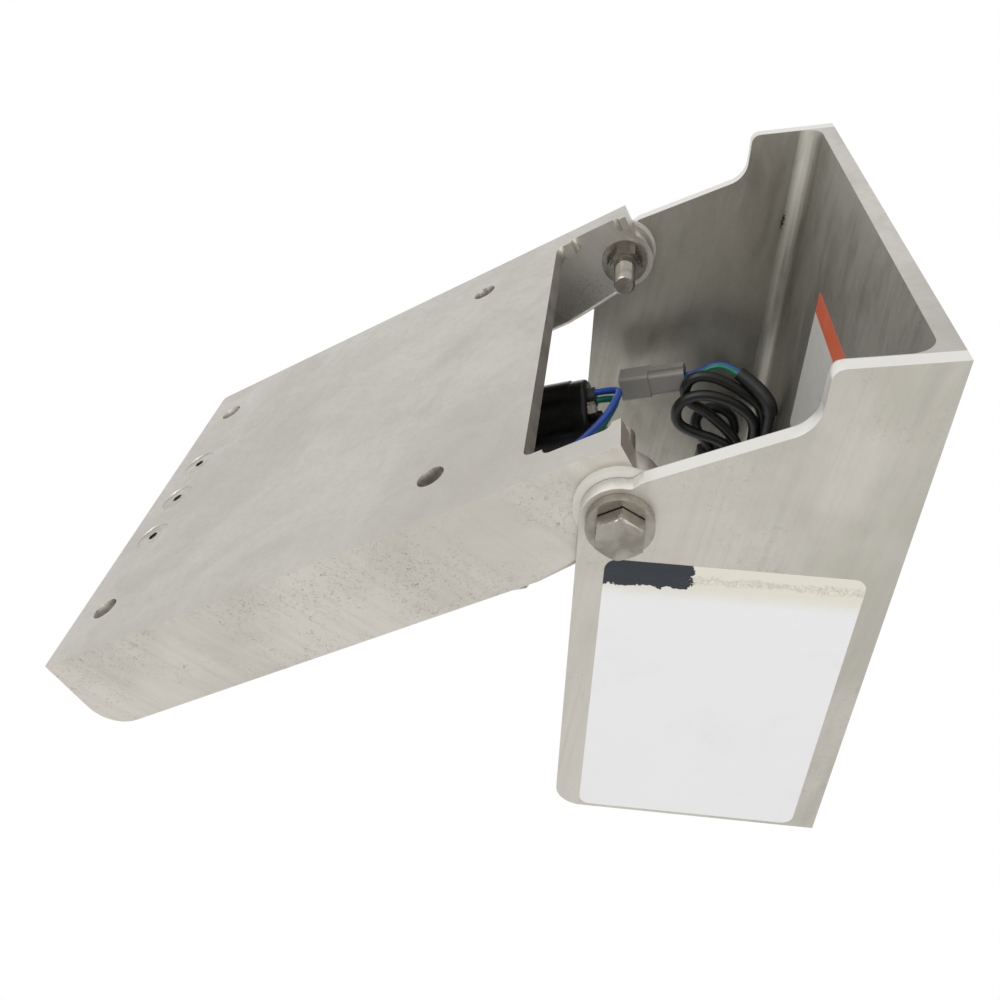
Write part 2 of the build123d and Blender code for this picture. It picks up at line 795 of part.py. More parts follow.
def lead_grommet():
    """Rubber boot that both leads leave by."""
    grommet = Pos(*lead_exit, motor_end + grommet_height / 2)
    grommet = grommet * Cylinder(grommet_diameter / 2, grommet_height)
    return stand_actuator(motor_spot * grommet)


def terminal_clip():
    """Black clip on the end cap, below the leads."""
    clip = Pos(*terminal_place, motor_end + terminal_depth / 2)
    clip = clip * Box(terminal_width, terminal_height, terminal_depth)
    clip = fillet(clip.edges().group_by(Axis.Z)[-1], terminal_round)
    return stand_actuator(motor_spot * clip)


lead_plug_top = lead_plug_low + lead_plug_length
lead_plug_y = tube_outer / 2 + lead_plug_height / 2 + strap_room


def lead_route(side):
    """Centre line of one motor lead, from the boot to its plug; side is -1 or 1."""
    x = motor_side + lead_exit[0]
    y = lead_exit[1] - motor_drop + side * lead_pitch / 2
    boot = motor_end + grommet_height
    crest = boot + lead_rise + lead_spread * (1 + side) / 2
    end_x = cylinder_side - side * lead_pitch / 2
    start = [(x, y, boot), (x, y, crest)]
    middle = [(bx, y + by, crest - bz) for bx, by, bz in lead_bends]
    return start + middle + [(end_x, lead_plug_y, lead_plug_top + lead_landing),
                             (end_x, lead_plug_y, lead_plug_top)]


def tube_along(points, diameter):
    """A round tube along straight runs joined by arcs, as large as the runs allow."""
    spots = [Vector(*p) for p in points]
    radii = []
    for before, here, after in zip(spots, spots[1:], spots[2:]):
        turn = math.radians((here - before).get_angle(after - here))
        run = min((here - before).length, (after - here).length)
        radii.append(0.45 * run / math.tan(turn / 2))
    path = FilletPolyline(*points, radius=radii)
    start = Plane(origin=path @ 0, z_dir=path % 0)
    tube = sweep(start * Circle(diameter / 2), path=path)
    section = math.pi * diameter ** 2 / 4
    share = tube.volume / (section * path.length)
    print("tube", round(path.length, 1), "long, volume share", round(share, 4),
          "radii", [round(r, 1) for r in radii])
    return tube


def motor_lead(side):
    return stand_actuator(tube_along(lead_route(side), lead_diameter))


def lead_plug():
    """Two way plug of the motor leads, strapped to the cylinder."""
    body = Pos(0, lead_plug_y, lead_plug_low + lead_plug_length / 2)
    body = body * Box(lead_plug_width, lead_plug_height, lead_plug_length)
    return stand_cylinder(fillet(body.edges().filter_by(Axis.Z), lead_plug_round))


def plug_strap():
    """Cable tie around the cylinder and the lead plug."""
    middle = lead_plug_low + lead_plug_length / 2
    inner = tube_outer / 2 + strap_room / 3
    round_part = upright(inner + tie_thick, middle - tie_width / 2, middle + tie_width / 2, inner)
    top = lead_plug_y + lead_plug_height / 2 + strap_room
    low = tube_outer / 2 - strap_sink
    width = lead_plug_width + 2 * strap_room
    hood = Pos(0, (top + low) / 2, middle)
    outer = hood * Box(width + 2 * tie_thick, top - low + 2 * tie_thick, tie_width)
    hollow = hood * Box(width, top - low, 2 * tie_width)
    strap = (round_part - outer) + (outer - hollow - upright(inner, 0, pin_gap))
    return stand_cylinder(strap)


def pressure_line():
    """Steel pipe from the manifold to the port at the rod end of the cylinder."""
    pipe = upright(pressure_pipe / 2, manifold_end, port_low)
    return stand_cylinder(Pos(pipe_x, 0, 0) * pipe)


def pipe_nuts():
    """Union nuts at both ends of the pressure line."""
    face = RegularPolygon(pipe_nut / 2, 6, major_radius=False)
    nuts = []
    for start in (manifold_end, port_low - pipe_nut_length):
        nut = Pos(pipe_x, 0, start) * extrude(face, pipe_nut_length)
        nut -= Pos(pipe_x, 0, 0) * upright(pressure_pipe / 2, start - 1, start + pipe_nut_length + 1)
        nuts.append(stand_cylinder(nut))
    return nuts


# Loose harness, behind the motor in the far corner of the motor bracket
def beside_wall(x, back, z):
    """A place in the standing unit, back being the distance behind the hinge axis."""
    return (x, hinge_y - back, z)


def back_plate_at(z):
    """How far behind the hinge axis the leaning back plate is at a height."""
    lean_angle = math.radians(lean)
    return back_inside / math.cos(lean_angle) + (hinge_height - z) * math.tan(lean_angle)


hank_contact = hank_height - hank_shoulder - hank_round * math.tan(math.radians(22.5))
hank_back = back_plate_at(hank_contact) - hank_gap
hank_front = hank_back - hank_arm
hank_middle = hank_near_side + hank_width / 2
second_plug_back = hank_front - tie_thick - plug_height / 2


def harness_coil():
    """Outer shape of the wound cable: a folded hank whose top hangs over forward."""
    tip = hank_back - hank_reach
    outline = Polyline((hank_back, 0), (hank_back, hank_height - hank_shoulder),
                       (hank_back - hank_shoulder, hank_height), (tip + hank_shoulder, hank_height),
                       (tip, hank_height - hank_shoulder), (tip, hank_height - hank_arm),
                       (tip + hank_shoulder, hank_overhang), (hank_front, hank_overhang),
                       (hank_front, 0), close=True)
    face = make_face(outline)
    face = fillet(face.vertices(), hank_round)
    slab = side_slab(face, hank_near_side, hank_width)
    return Pos(0, hinge_y, 0) * slab.mirror(Plane.XZ)


plug_place = Pos(*beside_wall(*plug_middle)) * Rot(0, 0, -plug_yaw) * Rot(-plug_tilt, 0, 0)


def seal_block(depth, place):
    """The room of the seal in the back of the first plug, and the seal itself."""
    block = Pos(0, place, 0) * Box(plug_width - 2 * seal_wall, depth, plug_height - 2 * seal_wall)
    return fillet(block.edges().filter_by(Axis.Y), seal_round)


def harness_plug():
    """Two way connector with a wider front, a latch on top and a rim round its seal."""
    body = Box(plug_width, plug_length, plug_height)
    body = fillet(body.edges().filter_by(Axis.Y), plug_round)
    hood_width = plug_width + 2 * plug_hood_step
    hood_height = plug_height + 2 * plug_hood_step
    hood = Pos(0, (plug_length - plug_hood_length) / 2, 0)
    hood = hood * Box(hood_width, plug_hood_length, hood_height)
    body += fillet(hood.edges().filter_by(Axis.Y), plug_round)
    latch = Pos(0, -plug_hood_length / 2, plug_height / 2)
    body += latch * Box(plug_latch_width, plug_length - plug_hood_length, 2 * plug_latch_height)
    room = seal_length + seal_depth
    body -= seal_block(2 * room, -plug_length / 2)
    return plug_place * body


def harness_seal():
    return plug_place * seal_block(seal_length, -plug_length / 2 + seal_depth + seal_length / 2)


def wire_route(shift):
    """Centre line of one wire between the seal of the plug and the cable jacket."""
    x = shift * wire_pitch
    start = seal_depth - plug_length / 2
    first = plug_place * Pos(x, start, 0)
    second = plug_place * Pos(x, start - wire_straight, 0)
    jacket = Vector(*beside_wall(*cable_route[0]))
    onward = (jacket - Vector(*beside_wall(*cable_route[1]))).normalized()
    across = (Vector(1, 0, 0) - onward * onward.X).normalized()
    last = jacket + across * x
    before = last + onward * wire_straight
    return [tuple(p) for p in (first.position, second.position, before, last)]


def harness_wire(shift):
    return tube_along(wire_route(shift), wire_diameter)


def harness_cable():
    return tube_along([beside_wall(*p) for p in cable_route], cable_diameter)


def harness_tail():
    top = second_plug_low + second_plug_length
    start = beside_wall(hank_middle, second_plug_back, top)
    end = beside_wall(hank_middle, second_plug_back, hank_overhang + cable_diameter)
    path = Line(start, end)
    return sweep(Plane(origin=start, z_dir=path % 0) * Circle(cable_diameter / 2), path=path)


def second_plug():
    """Second connector of the harness, standing against the front of the hank."""
    place = Pos(*beside_wall(hank_middle, second_plug_back, second_plug_low + second_plug_length / 2))
    body = Box(plug_width, plug_height, second_plug_length)
    return place * fillet(body.edges().filter_by(Axis.Z), plug_round)


def coil_tie():
    """Cable tie around the upright part of the hank, with its lock."""
    place = Pos(*beside_wall(hank_middle, hank_back - hank_arm / 2, tie_place))
    band = Box(hank_width + 2 * tie_thick, hank_arm + 2 * tie_thick, tie_width)
    band -= Box(hank_width, hank_arm, 2 * tie_width)
    lock = Pos(-(hank_width + tie_thick + tie_lock_height) / 2, hank_arm / 4, 0)
    return place * (band + lock * Box(tie_lock_height, tie_lock_length, tie_width + tie_thick))


def write(name, pieces):
    """Write one sub-part, a single piece or a group of like ones."""
    group = pieces if isinstance(pieces, list) else [pieces]
    solids = [solid for piece in group for solid in piece.solids()]
    shape = solids[0] if len(solids) == 1 else Compound(solids)
    export_step(shape, "parts/" + name + ".step")


sub_parts = {
    "transom_plate": transom_plate,
    "actuator_bracket": actuator_bracket,
    "bracket_screws": bracket_screws,
    "lower_pivot_pin": lower_pivot_pin,
    "lower_pin_clips": lower_pin_clips,
    "hinge_bolts": hinge_bolts,
    "outer_washers": outer_washers,
    "thrust_washers": thrust_washers,
    "inner_washers": inner_washers,
    "lock_nuts": lock_nuts,
    "motor_bracket": motor_bracket,
    "hinge_bushes": hinge_bushes,
    "upper_clevis": upper_clevis,
    "clevis_screws": clevis_screws,
    "upper_pivot_pin": upper_pivot_pin,
    "upper_pin_clips": upper_pin_clips,
    "manifold_block": manifold_block,
    "lower_eye_bush": lower_eye_bush,
    "cylinder_tube": cylinder_tube,
    "gland": gland,
    "rod_wiper": rod_wiper,
    "pressure_line": pressure_line,
    "pipe_nuts": pipe_nuts,
    "relief_screw": relief_screw,
    "reservoir": reservoir,
    "fill_plug": fill_plug,
    "motor_case": motor_case,
    "motor_end_cap": motor_end_cap,
    "motor_bolts": motor_bolts,
    "lead_grommet": lead_grommet,
    "terminal_clip": terminal_clip,
    "blue_lead": lambda: motor_lead(1),
    "green_lead": lambda: motor_lead(-1),
    "lead_plug": lead_plug,
    "plug_strap": plug_strap,
    "piston": piston,
    "piston_ring": piston_ring,
    "piston_rod": piston_rod,
    "rod_eye": rod_eye,
    "harness_plug": harness_plug,
    "harness_seal": harness_seal,
    "green_wire": lambda: harness_wire(-0.5),
    "blue_wire": lambda: harness_wire(0.5),
    "harness_cable": harness_cable,
    "harness_coil": harness_coil,
    "harness_tail": harness_tail,
    "second_plug": second_plug,
    "coil_tie": coil_tie,
}

os.makedirs("parts", exist_ok=True)
for node, make in sub_parts.items():
    write(node, make())

print("lean", round(lean, 3), "hinge height", round(hinge_height, 3), "hinge y", round(hinge_y, 3))
print("lower pin", [round(v, 3) for v in lower_pin], "upper pin", upper_pin, "gap", round(pin_gap, 3))
print("actuator angle", round(actuator_angle, 4), "closing travel", round(closing_travel, 3))
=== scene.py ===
"""Looks of a power trim and tilt unit: its finishes, bolts, leads, harness and stickers.

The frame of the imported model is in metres. X runs along the tilt hinge, +Y towards the
low end of the transom plate and +Z up from the surface the unit stands on. The sizes that
the sub-assemblies hold are in millimetres unless a comment says metres.
"""
import json
import logging
import math
from dataclasses import dataclass
from enum import Enum
from functools import cache

import bmesh
import bpy
from mathutils import Euler, Matrix, Vector


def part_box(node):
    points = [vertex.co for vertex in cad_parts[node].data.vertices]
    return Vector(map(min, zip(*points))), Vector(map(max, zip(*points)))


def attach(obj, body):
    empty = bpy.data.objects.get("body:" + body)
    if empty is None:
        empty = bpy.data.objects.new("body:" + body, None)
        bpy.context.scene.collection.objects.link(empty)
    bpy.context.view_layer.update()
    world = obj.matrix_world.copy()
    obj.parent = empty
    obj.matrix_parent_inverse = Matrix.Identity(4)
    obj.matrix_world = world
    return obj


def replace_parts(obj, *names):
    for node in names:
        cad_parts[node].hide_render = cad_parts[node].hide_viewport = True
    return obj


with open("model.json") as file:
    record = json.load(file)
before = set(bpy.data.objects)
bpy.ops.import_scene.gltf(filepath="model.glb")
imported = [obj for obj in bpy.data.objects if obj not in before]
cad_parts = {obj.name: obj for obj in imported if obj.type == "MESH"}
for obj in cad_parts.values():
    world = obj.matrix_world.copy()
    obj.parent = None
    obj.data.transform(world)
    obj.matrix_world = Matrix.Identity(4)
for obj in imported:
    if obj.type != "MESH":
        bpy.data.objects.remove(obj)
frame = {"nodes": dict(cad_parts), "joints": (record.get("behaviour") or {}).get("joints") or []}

log = logging.getLogger("trim_and_tilt")
MM = 0.001
LEAN = 3.207         # degrees that the motor bracket leans forward of upright
PLATE_TURN = 56.793  # degrees that the transom plate is turned down from upright
SMOOTH_ANGLE = 32.0  # degrees between two faces that still shade as one
BREAK_ANGLE = 40.0   # degrees between two faces whose edge is rounded
BREAK_STEPS = 2      # strips that a rounded edge is made of
WELD_REACH = 0.001   # millimetres between corners that count as one
CORD_STEPS = 12      # steps along each span of a cord
CORD_ROUND = 5       # fineness of a cord's round section
Colour = tuple[float, float, float]
Place = tuple[float, float, float]
Socket = bpy.types.NodeSocket
Material = bpy.types.Material
Value = Socket | float | Colour


class Body(Enum):
    """The bodies that pieces made here belong to."""

    TRANSOM = "transom_side"
    MOTOR = "motor_side"
    CYLINDER = "cylinder"


class Side(Enum):
    """The two sides of the unit along X, the near one being the camera's."""

    NEAR = -1
    FAR = 1


# Material nodes


@dataclass(frozen=True)
class Cloud:
    """A cloudy pattern."""

    scale: float | Place  # clouds to the metre
    detail: float = 3.0   # number of finer layers
    rough: float = 0.55   # strength of each finer layer
    bend: float = 0.0     # pull out of shape


class Graph:
    """The node tree of one material, with short calls for the nodes that finishes use."""

    def __init__(self, name: str) -> None:
        """Start a material.

        Args:
            name: Name of the material.
        """
        self.material = bpy.data.materials.new(name)
        self.material.use_nodes = True
        self.tree = self.material.node_tree
        self.shader = self.tree.nodes["Principled BSDF"]
        self.place = self.add("ShaderNodeTexCoord").outputs["Object"]

    def add(self, kind: str, **settings: str) -> bpy.types.Node:
        """Add a node and set its properties.

        Args:
            kind: Blender's name for the node.
            settings: Properties of the node.

        Returns:
            The new node.
        """
        node = self.tree.nodes.new(kind)
        for key, value in settings.items():
            setattr(node, key, value)
        return node

    def feed(self, socket: Socket, value: Value) -> None:
        """Link a socket to another one, or give it a number or a colour.

        Args:
            socket: Socket to fill.
            value: Other socket, number or colour.
        """
        if isinstance(value, Socket):
            self.tree.links.new(value, socket)
        else:
            socket.default_value = (*value, 1.0) if isinstance(value, tuple) else value

    def stretched(self, scale: Place, turn: float) -> Socket:
        """The object's own coordinates, turned about X and then scaled.

        Args:
            scale: Scale along the turned axes.
            turn: The turn in degrees.

        Returns:
            The changed coordinates.
        """
        spin = self.add("ShaderNodeMapping")
        self.feed(spin.inputs["Vector"], self.place)
        spin.inputs["Rotation"].default_value[0] = math.radians(turn)
        size = self.add("ShaderNodeMapping")
        self.feed(size.inputs["Vector"], spin.outputs["Vector"])
        size.inputs["Scale"].default_value = scale
        return size.outputs["Vector"]

    def noise(self, cloud: Cloud, turn: float = 0.0) -> Socket:
        """Cloudy values from 0 to 1.

        Args:
            cloud: The pattern.
            turn: Degrees about X that a stretched pattern is turned.

        Returns:
            The value at each point.
        """
        place, scale = self.place, cloud.scale
        if isinstance(scale, tuple):
            place, scale = self.stretched(scale, turn), 1.0
        node = self.add("ShaderNodeTexNoise")
        self.feed(node.inputs["Vector"], place)
        for key, value in (("Scale", scale), ("Detail", cloud.detail),
                           ("Roughness", cloud.rough), ("Distortion", cloud.bend)):
            node.inputs[key].default_value = value
        return node.outputs["Fac"]

    def spread(self, value: Value, low: float, high: float,
               out_low: float = 0.0, out_high: float = 1.0) -> Socket:
        """Map a range of a value smoothly to another range.

        Args:
            value: Value to map.
            low: Start of its range.
            high: End of its range.
            out_low: Result at the start.
            out_high: Result at the end.

        Returns:
            The mapped value.
        """
        node = self.add("ShaderNodeMapRange", interpolation_type="SMOOTHSTEP")
        for key, entry in (("Value", value), ("From Min", low), ("From Max", high),
                           ("To Min", out_low), ("To Max", out_high)):
            self.feed(node.inputs[key], entry)
        return node.outputs["Result"]

    def maths(self, kind: str, first: Value, second: Value = 0.0) -> Socket:
        """One step of arithmetic.

        Args:
            kind: Blender's name for the step.
            first: First value.
            second: Second value.

        Returns:
            The result.
        """
        node = self.add("ShaderNodeMath", operation=kind)
        self.feed(node.inputs[0], first)
        self.feed(node.inputs[1], second)
        return node.outputs[0]

    def centred(self, value: Value, width: float) -> Socket:
        """A value from 0 to 1 moved to lie either side of 0, over that width."""
        return self.maths("MULTIPLY", self.maths("SUBTRACT", value, 0.5), width)

    def from_level(self, value: Value, level: float) -> Socket:
        """How far a value is from a level, above or below."""
        return self.maths("ABSOLUTE", self.maths("SUBTRACT", value, level))

    def blend(self, share: Value, first: Value, second: Value, kind: str = "MIX") -> Socket:
        """Mix two colours.

        Args:
            share: Share of the second colour.
            first: First colour.
            second: Second colour.
            kind: Blender's name for the mixing.

        Returns:
            The mixed colour.
        """
        node = self.add("ShaderNodeMix", data_type="RGBA", blend_type=kind)
        self.feed(node.inputs["Factor"], share)
        self.feed(node.inputs[6], first)
        self.feed(node.inputs[7], second)
        return node.outputs[2]

    def parts(self, coordinates: str) -> bpy.types.bpy_prop_collection:
        """The X, Y and Z parts of the surface's place or direction.

        Args:
            coordinates: Object for its place, Normal for its direction.

        Returns:
            The three parts.
        """
        node = self.add("ShaderNodeSeparateXYZ")
        self.feed(node.inputs[0], self.add("ShaderNodeTexCoord").outputs[coordinates])
        return node.outputs

    def bump(self, height: Value, depth: float) -> None:
        """Give the surface a relief.

        Args:
            height: Value that rises with the surface.
            depth: Rise in metres for a value of 1.
        """
        node = self.add("ShaderNodeBump")
        self.feed(node.inputs["Height"], height)
        node.inputs["Distance"].default_value = depth
        self.feed(self.shader.inputs["Normal"], node.outputs["Normal"])

    def surface(self, **entries: Value) -> Material:
        """Fill the shader's sockets and return the finished material.

        Args:
            entries: Values by socket name, with an underscore for each blank.

        Returns:
            The material.
        """
        for key, value in entries.items():
            self.feed(self.shader.inputs[key.replace("_", " ")], value)
        return self.material


@dataclass(frozen=True)
class SheetAluminium:
    """Mill finish aluminium, with rolling grain, cloudy stains and hair-fine scuffs, plus painted
    light: a lighter tone on the faces that look sideways, painted shade inside the channel, and cut
    edges brightened as machined metal with a painted highlight.
    """

    name: str
    light: Colour
    dark: Colour
    # lighter tones of the faces that look sideways: painted light
    painted_lit_side_light: Colour
    painted_lit_side_dark: Colour
    grain_turn: float
    scuffs: float
    stain: float
    smooth: float = 0.34
    rough: float = 0.48
    scuff_tone: Colour = (0.19, 0.16, 0.12)
    inside_width: float = 0.0
    # darkening multiplied into the channel's inside: painted shade
    painted_inside_shade: Colour = (0.71, 0.71, 0.69)
    # bright cut edges: brighter machined metal, partly a painted highlight
    rim_metal_and_painted_highlight: Colour = (0.80, 0.785, 0.75)
    mark: Colour = (0.012, 0.011, 0.010)
    mark_place: Place = (0.14056, -0.1671, 0.2104)
    mark_shape: Place = (1.0, 1.6, 0.45)
    mark_ragged: float = 9 * MM
    mark_edge: tuple[float, float] = (1.0 * MM, 2.2 * MM)
    sideways: float = 0.8
    upward: float = 0.6
    backward: float = -0.5
    clouds: Cloud = Cloud(9.0, 5.0, 0.6, 0.6)
    blotches: Cloud = Cloud((38.0, 38.0, 16.0), 5.0, 0.65, 1.2)
    streaks: Cloud = Cloud((260.0, 260.0, 6.0), 4.0, 0.6)
    grain: Cloud = Cloud((1400.0, 1400.0, 40.0), 2.0, 0.5)
    curls: Cloud = Cloud(150.0, 3.0, 0.55, 2.6)
    patches: Cloud = Cloud(24.0, 4.0)
    breaks: Cloud = Cloud(420.0, 2.0)
    ragged: Cloud = Cloud(620.0, 3.0, 0.7)

    def tone(self, g: Graph, side: Value) -> Socket:
        """Cloudy base tone, with a lighter range on the faces that look sideways: painted light, as
        if the lamps lit them more.

        Args:
            g: Graph of the material.
            side: How far a face looks sideways, from 0 to 1.

        Returns:
            The colour.
        """
        mix = g.spread(g.noise(self.clouds), 0.36, 0.66)
        face = g.blend(mix, self.light, self.dark)
        painted_lit_flank = g.blend(mix, self.painted_lit_side_light, self.painted_lit_side_dark)
        # faces that look sideways take the lighter painted-light range
        return g.blend(g.spread(side, 0.6, 0.9), face, painted_lit_flank)

    def region(self, g: Graph, where: str, part: Value, limit: float) -> Socket:
        """Find faces on one side of the channel's inner width that don't look backward.

        Args:
            g: Graph of the material.
            where: LESS_THAN for inside that width, GREATER_THAN for outside it.
            part: Part of the faces' direction that stays under the limit.
            limit: The limit.

        Returns:
            1 on them, 0 elsewhere.
        """
        across, behind = g.parts("Object")[0], g.parts("Normal")[1]
        faces = g.maths(where, g.maths("ABSOLUTE", across), self.inside_width / 2)
        faces = g.maths("MULTIPLY", faces, g.maths("LESS_THAN", part, limit))
        return g.maths("MULTIPLY", faces, g.maths("GREATER_THAN", behind, self.backward))

    def blot(self, g: Graph) -> Socket:
        """A small dark crack-like mark at one place.

        Args:
            g: Graph of the material.

        Returns:
            Share of the mark's colour.
        """
        centre = [-v * s for v, s in zip(self.mark_place, self.mark_shape)]
        shift = g.add("ShaderNodeMapping")
        g.feed(shift.inputs["Vector"], g.place)
        shift.inputs["Scale"].default_value = self.mark_shape
        shift.inputs["Location"].default_value = centre
        reach = g.add("ShaderNodeVectorMath", operation="LENGTH")
        g.feed(reach.inputs[0], shift.outputs["Vector"])
        ragged = g.centred(g.noise(self.ragged), self.mark_ragged)
        edge = g.maths("ADD", reach.outputs["Value"], ragged)
        return g.spread(edge, *self.mark_edge, 0.85, 0.0)

    def hairs(self, g: Graph, side: Value) -> Socket:
        """Short hair-fine scuffs in patches, on the faces that look sideways.

        Args:
            g: Graph of the material.
            side: How far a face looks sideways, from 0 to 1.

        Returns:
            Share of the scuffs' colour.
        """
        patch = g.maths("MULTIPLY", g.spread(g.noise(self.patches), 0.41, 0.61),
                        g.spread(g.noise(self.breaks), 0.41, 0.53))
        line = g.spread(g.from_level(g.noise(self.curls), 0.5), 0.0, 0.018, 1.0, 0.0)
        hair = g.maths("MULTIPLY", line, patch)
        return g.maths("MULTIPLY", hair, g.spread(side, 0.7, 0.95, 0.0, self.scuffs))

    def channel(self, g: Graph, shade: Value) -> Socket:
        """Add the painted shade of the channel's inside, its dark mark and its bright cut edges,
        which are brighter machined metal with a painted highlight.

        Args:
            g: Graph of the material.
            shade: Colour of the sheet.

        Returns:
            The colour with all three.
        """
        side, _, above = g.parts("Normal")
        inner = self.region(g, "LESS_THAN", above, self.upward)
        cut = self.region(g, "GREATER_THAN", g.maths("ABSOLUTE", side), self.sideways)
        # painted shade: the channel's inside is darkened
        shade = g.blend(inner, shade, g.blend(1.0, shade, self.painted_inside_shade, "MULTIPLY"))
        shade = g.blend(self.blot(g), shade, self.mark)
        # cut edges brightened: brighter machined metal and a painted highlight
        return g.blend(g.maths("MULTIPLY", cut, 0.8), shade, self.rim_metal_and_painted_highlight)

    def build(self) -> Material:
        """Make the material and return it."""
        g = Graph(self.name)
        side = g.maths("ABSOLUTE", g.parts("Normal")[0])
        streaks = g.noise(self.streaks, self.grain_turn)
        fine = g.noise(self.grain, self.grain_turn)
        blotch = g.noise(self.blotches, self.grain_turn)
        shade = self.tone(g, side)
        shade = g.blend(g.spread(streaks, 0.42, 0.75, 0.0, 0.3), shade, self.dark)
        shade = g.blend(g.spread(blotch, 0.55, 0.75, 0.0, self.stain), shade, self.dark)
        hair = self.hairs(g, side)
        shade = g.blend(hair, shade, self.scuff_tone)
        if self.inside_width > 0.0:
            shade = self.channel(g, shade)
        sheen = g.maths("ADD", g.spread(blotch, 0.3, 0.7, self.smooth, self.rough),
                        g.spread(streaks, 0.3, 0.7, -0.04, 0.04))
        relief = g.maths("ADD", fine, g.maths("MULTIPLY", streaks, 0.6))
        g.bump(g.maths("SUBTRACT", relief, hair), 0.012 * MM)
        return g.surface(Base_Color=shade, Metallic=1.0, Roughness=sheen)


@dataclass(frozen=True)
class BareMetal:
    """Plain machined or drawn metal, with turning marks and a faint tarnish."""

    name: str
    light: Colour
    dark: Colour
    rough: float
    marks: Cloud = Cloud((120.0, 900.0, 900.0), 3.0, 0.6)
    stains: Cloud = Cloud(60.0, 4.0, 0.6, 0.8)

    def build(self) -> Material:
        """Make the material and return it."""
        g = Graph(self.name)
        lines = g.noise(self.marks)
        stain = g.noise(self.stains)
        shade = g.blend(g.spread(stain, 0.35, 0.7), self.light, self.dark)
        sheen = g.maths("ADD", g.spread(stain, 0.3, 0.7, self.rough, self.rough + 0.1),
                        g.spread(lines, 0.3, 0.7, -0.03, 0.05))
        g.bump(lines, 0.01 * MM)
        return g.surface(Base_Color=shade, Metallic=1.0, Roughness=sheen)


@dataclass(frozen=True)
class Moulded:
    """Moulded plastic, rubber or paint, with a fine skin and a little dust."""

    name: str
    colour: Colour
    dust: Colour
    rough: float
    grain: float = 900.0
    shine: float = 0.5
    depth: float = 0.02
    wear: Cloud = Cloud(45.0, 5.0, 0.62, 0.5)

    def build(self) -> Material:
        """Make the material and return it."""
        g = Graph(self.name)
        skin = g.noise(Cloud(self.grain, 2.0, 0.5))
        wear = g.noise(self.wear)
        shade = g.blend(g.spread(wear, 0.5, 0.8, 0.0, 0.5), self.colour, self.dust)
        sheen = g.maths("ADD", g.spread(wear, 0.35, 0.75, self.rough, self.rough + 0.14),
                        g.spread(skin, 0.3, 0.7, -0.02, 0.03))
        g.bump(skin, self.depth * MM)
        return g.surface(Base_Color=shade, Roughness=sheen, Specular_IOR_Level=self.shine)


@dataclass(frozen=True)
class StickerFace:
    """Printed vinyl: a plain field with a stained band and a torn strip along its top."""

    name: str
    width: float
    height: float
    field: Colour = (0.82, 0.81, 0.80)
    band: Colour = (0.74, 0.70, 0.58)
    strip: Colour = (0.008, 0.014, 0.022)
    glue: Colour = (0.52, 0.49, 0.42)
    soil: Colour = (0.62, 0.61, 0.60)
    band_height: float = 21 * MM
    band_fade: float = 10 * MM
    strip_height: float = 13 * MM
    strip_length: float = 36 * MM
    strip_edge: float = 0.4 * MM
    glue_drop: float = 7 * MM
    tears: Cloud = Cloud(260.0, 4.0, 0.65)
    waves: Cloud = Cloud(60.0, 3.0, 0.5)
    curls: Cloud = Cloud(330.0, 3.0, 0.6, 2.0)
    stains: Cloud = Cloud(22.0, 5.0, 0.6)

    def build(self) -> Material:
        """Make and return the material; the piece's own X runs along the sticker and Y up it."""
        g = Graph(self.name)
        along, up, _ = g.parts("Object")
        drop = g.maths("SUBTRACT", self.height / 2, up)
        start = g.maths("ADD", along, self.width / 2)
        shift = g.maths("ADD", g.centred(g.noise(self.tears), 7 * MM),
                        g.centred(g.noise(self.waves), 5 * MM))
        edge = g.maths("ADD", drop, shift)
        band = g.spread(g.maths("ADD", drop, g.maths("MULTIPLY", shift, 0.3)),
                        self.band_height - self.band_fade, self.band_height, 0.9, 0.0)
        dark = g.spread(edge, self.strip_height - self.strip_edge, self.strip_height, 1.0, 0.0)
        reach = g.maths("ADD", start, g.maths("MULTIPLY", shift, 1.4))
        torn = g.spread(reach, self.strip_length - self.strip_edge, self.strip_length, 1.0, 0.0)
        threads = g.spread(g.from_level(g.noise(self.curls), 0.5), 0.0, 0.05, 0.8, 0.0)
        along_line = g.spread(g.from_level(edge, self.glue_drop), 1.2 * MM, 2.6 * MM, 1.0, 0.0)
        glue = g.maths("MULTIPLY", along_line, threads)
        shade = g.blend(band, self.field, self.band)
        shade = g.blend(glue, shade, self.glue)
        shade = g.blend(g.maths("MULTIPLY", dark, torn), shade, self.strip)
        soil = g.noise(self.stains)
        shade = g.blend(g.spread(soil, 0.5, 0.85, 0.0, 0.25), shade, self.soil)
        relief = g.maths("ADD", g.maths("MULTIPLY", glue, 2.0), g.maths("MULTIPLY", soil, 0.4))
        g.bump(relief, 0.05 * MM)
        return g.surface(Base_Color=shade, Roughness=g.spread(soil, 0.3, 0.7, 0.28, 0.42))


@dataclass(frozen=True)
class TwoToneSticker:
    """Small sticker with a coloured band over a plain field."""

    name: str
    band_low: float
    band: Colour = (0.72, 0.13, 0.05)
    field: Colour = (0.66, 0.64, 0.60)
    soil: Colour = (0.4, 0.38, 0.36)
    stains: Cloud = Cloud(70.0, 4.0, 0.6)

    def build(self) -> Material:
        """Make and return the material; the piece's own Y runs up the sticker."""
        g = Graph(self.name)
        up = g.parts("Object")[1]
        tone = g.noise(self.stains)
        in_band = g.spread(up, self.band_low, self.band_low + 0.2 * MM)
        shade = g.blend(in_band, self.field, self.band)
        shade = g.blend(g.spread(tone, 0.5, 0.8, 0.0, 0.2), shade, self.soil)
        g.bump(tone, 0.03 * MM)
        return g.surface(Base_Color=shade, Roughness=g.spread(tone, 0.3, 0.7, 0.35, 0.5))


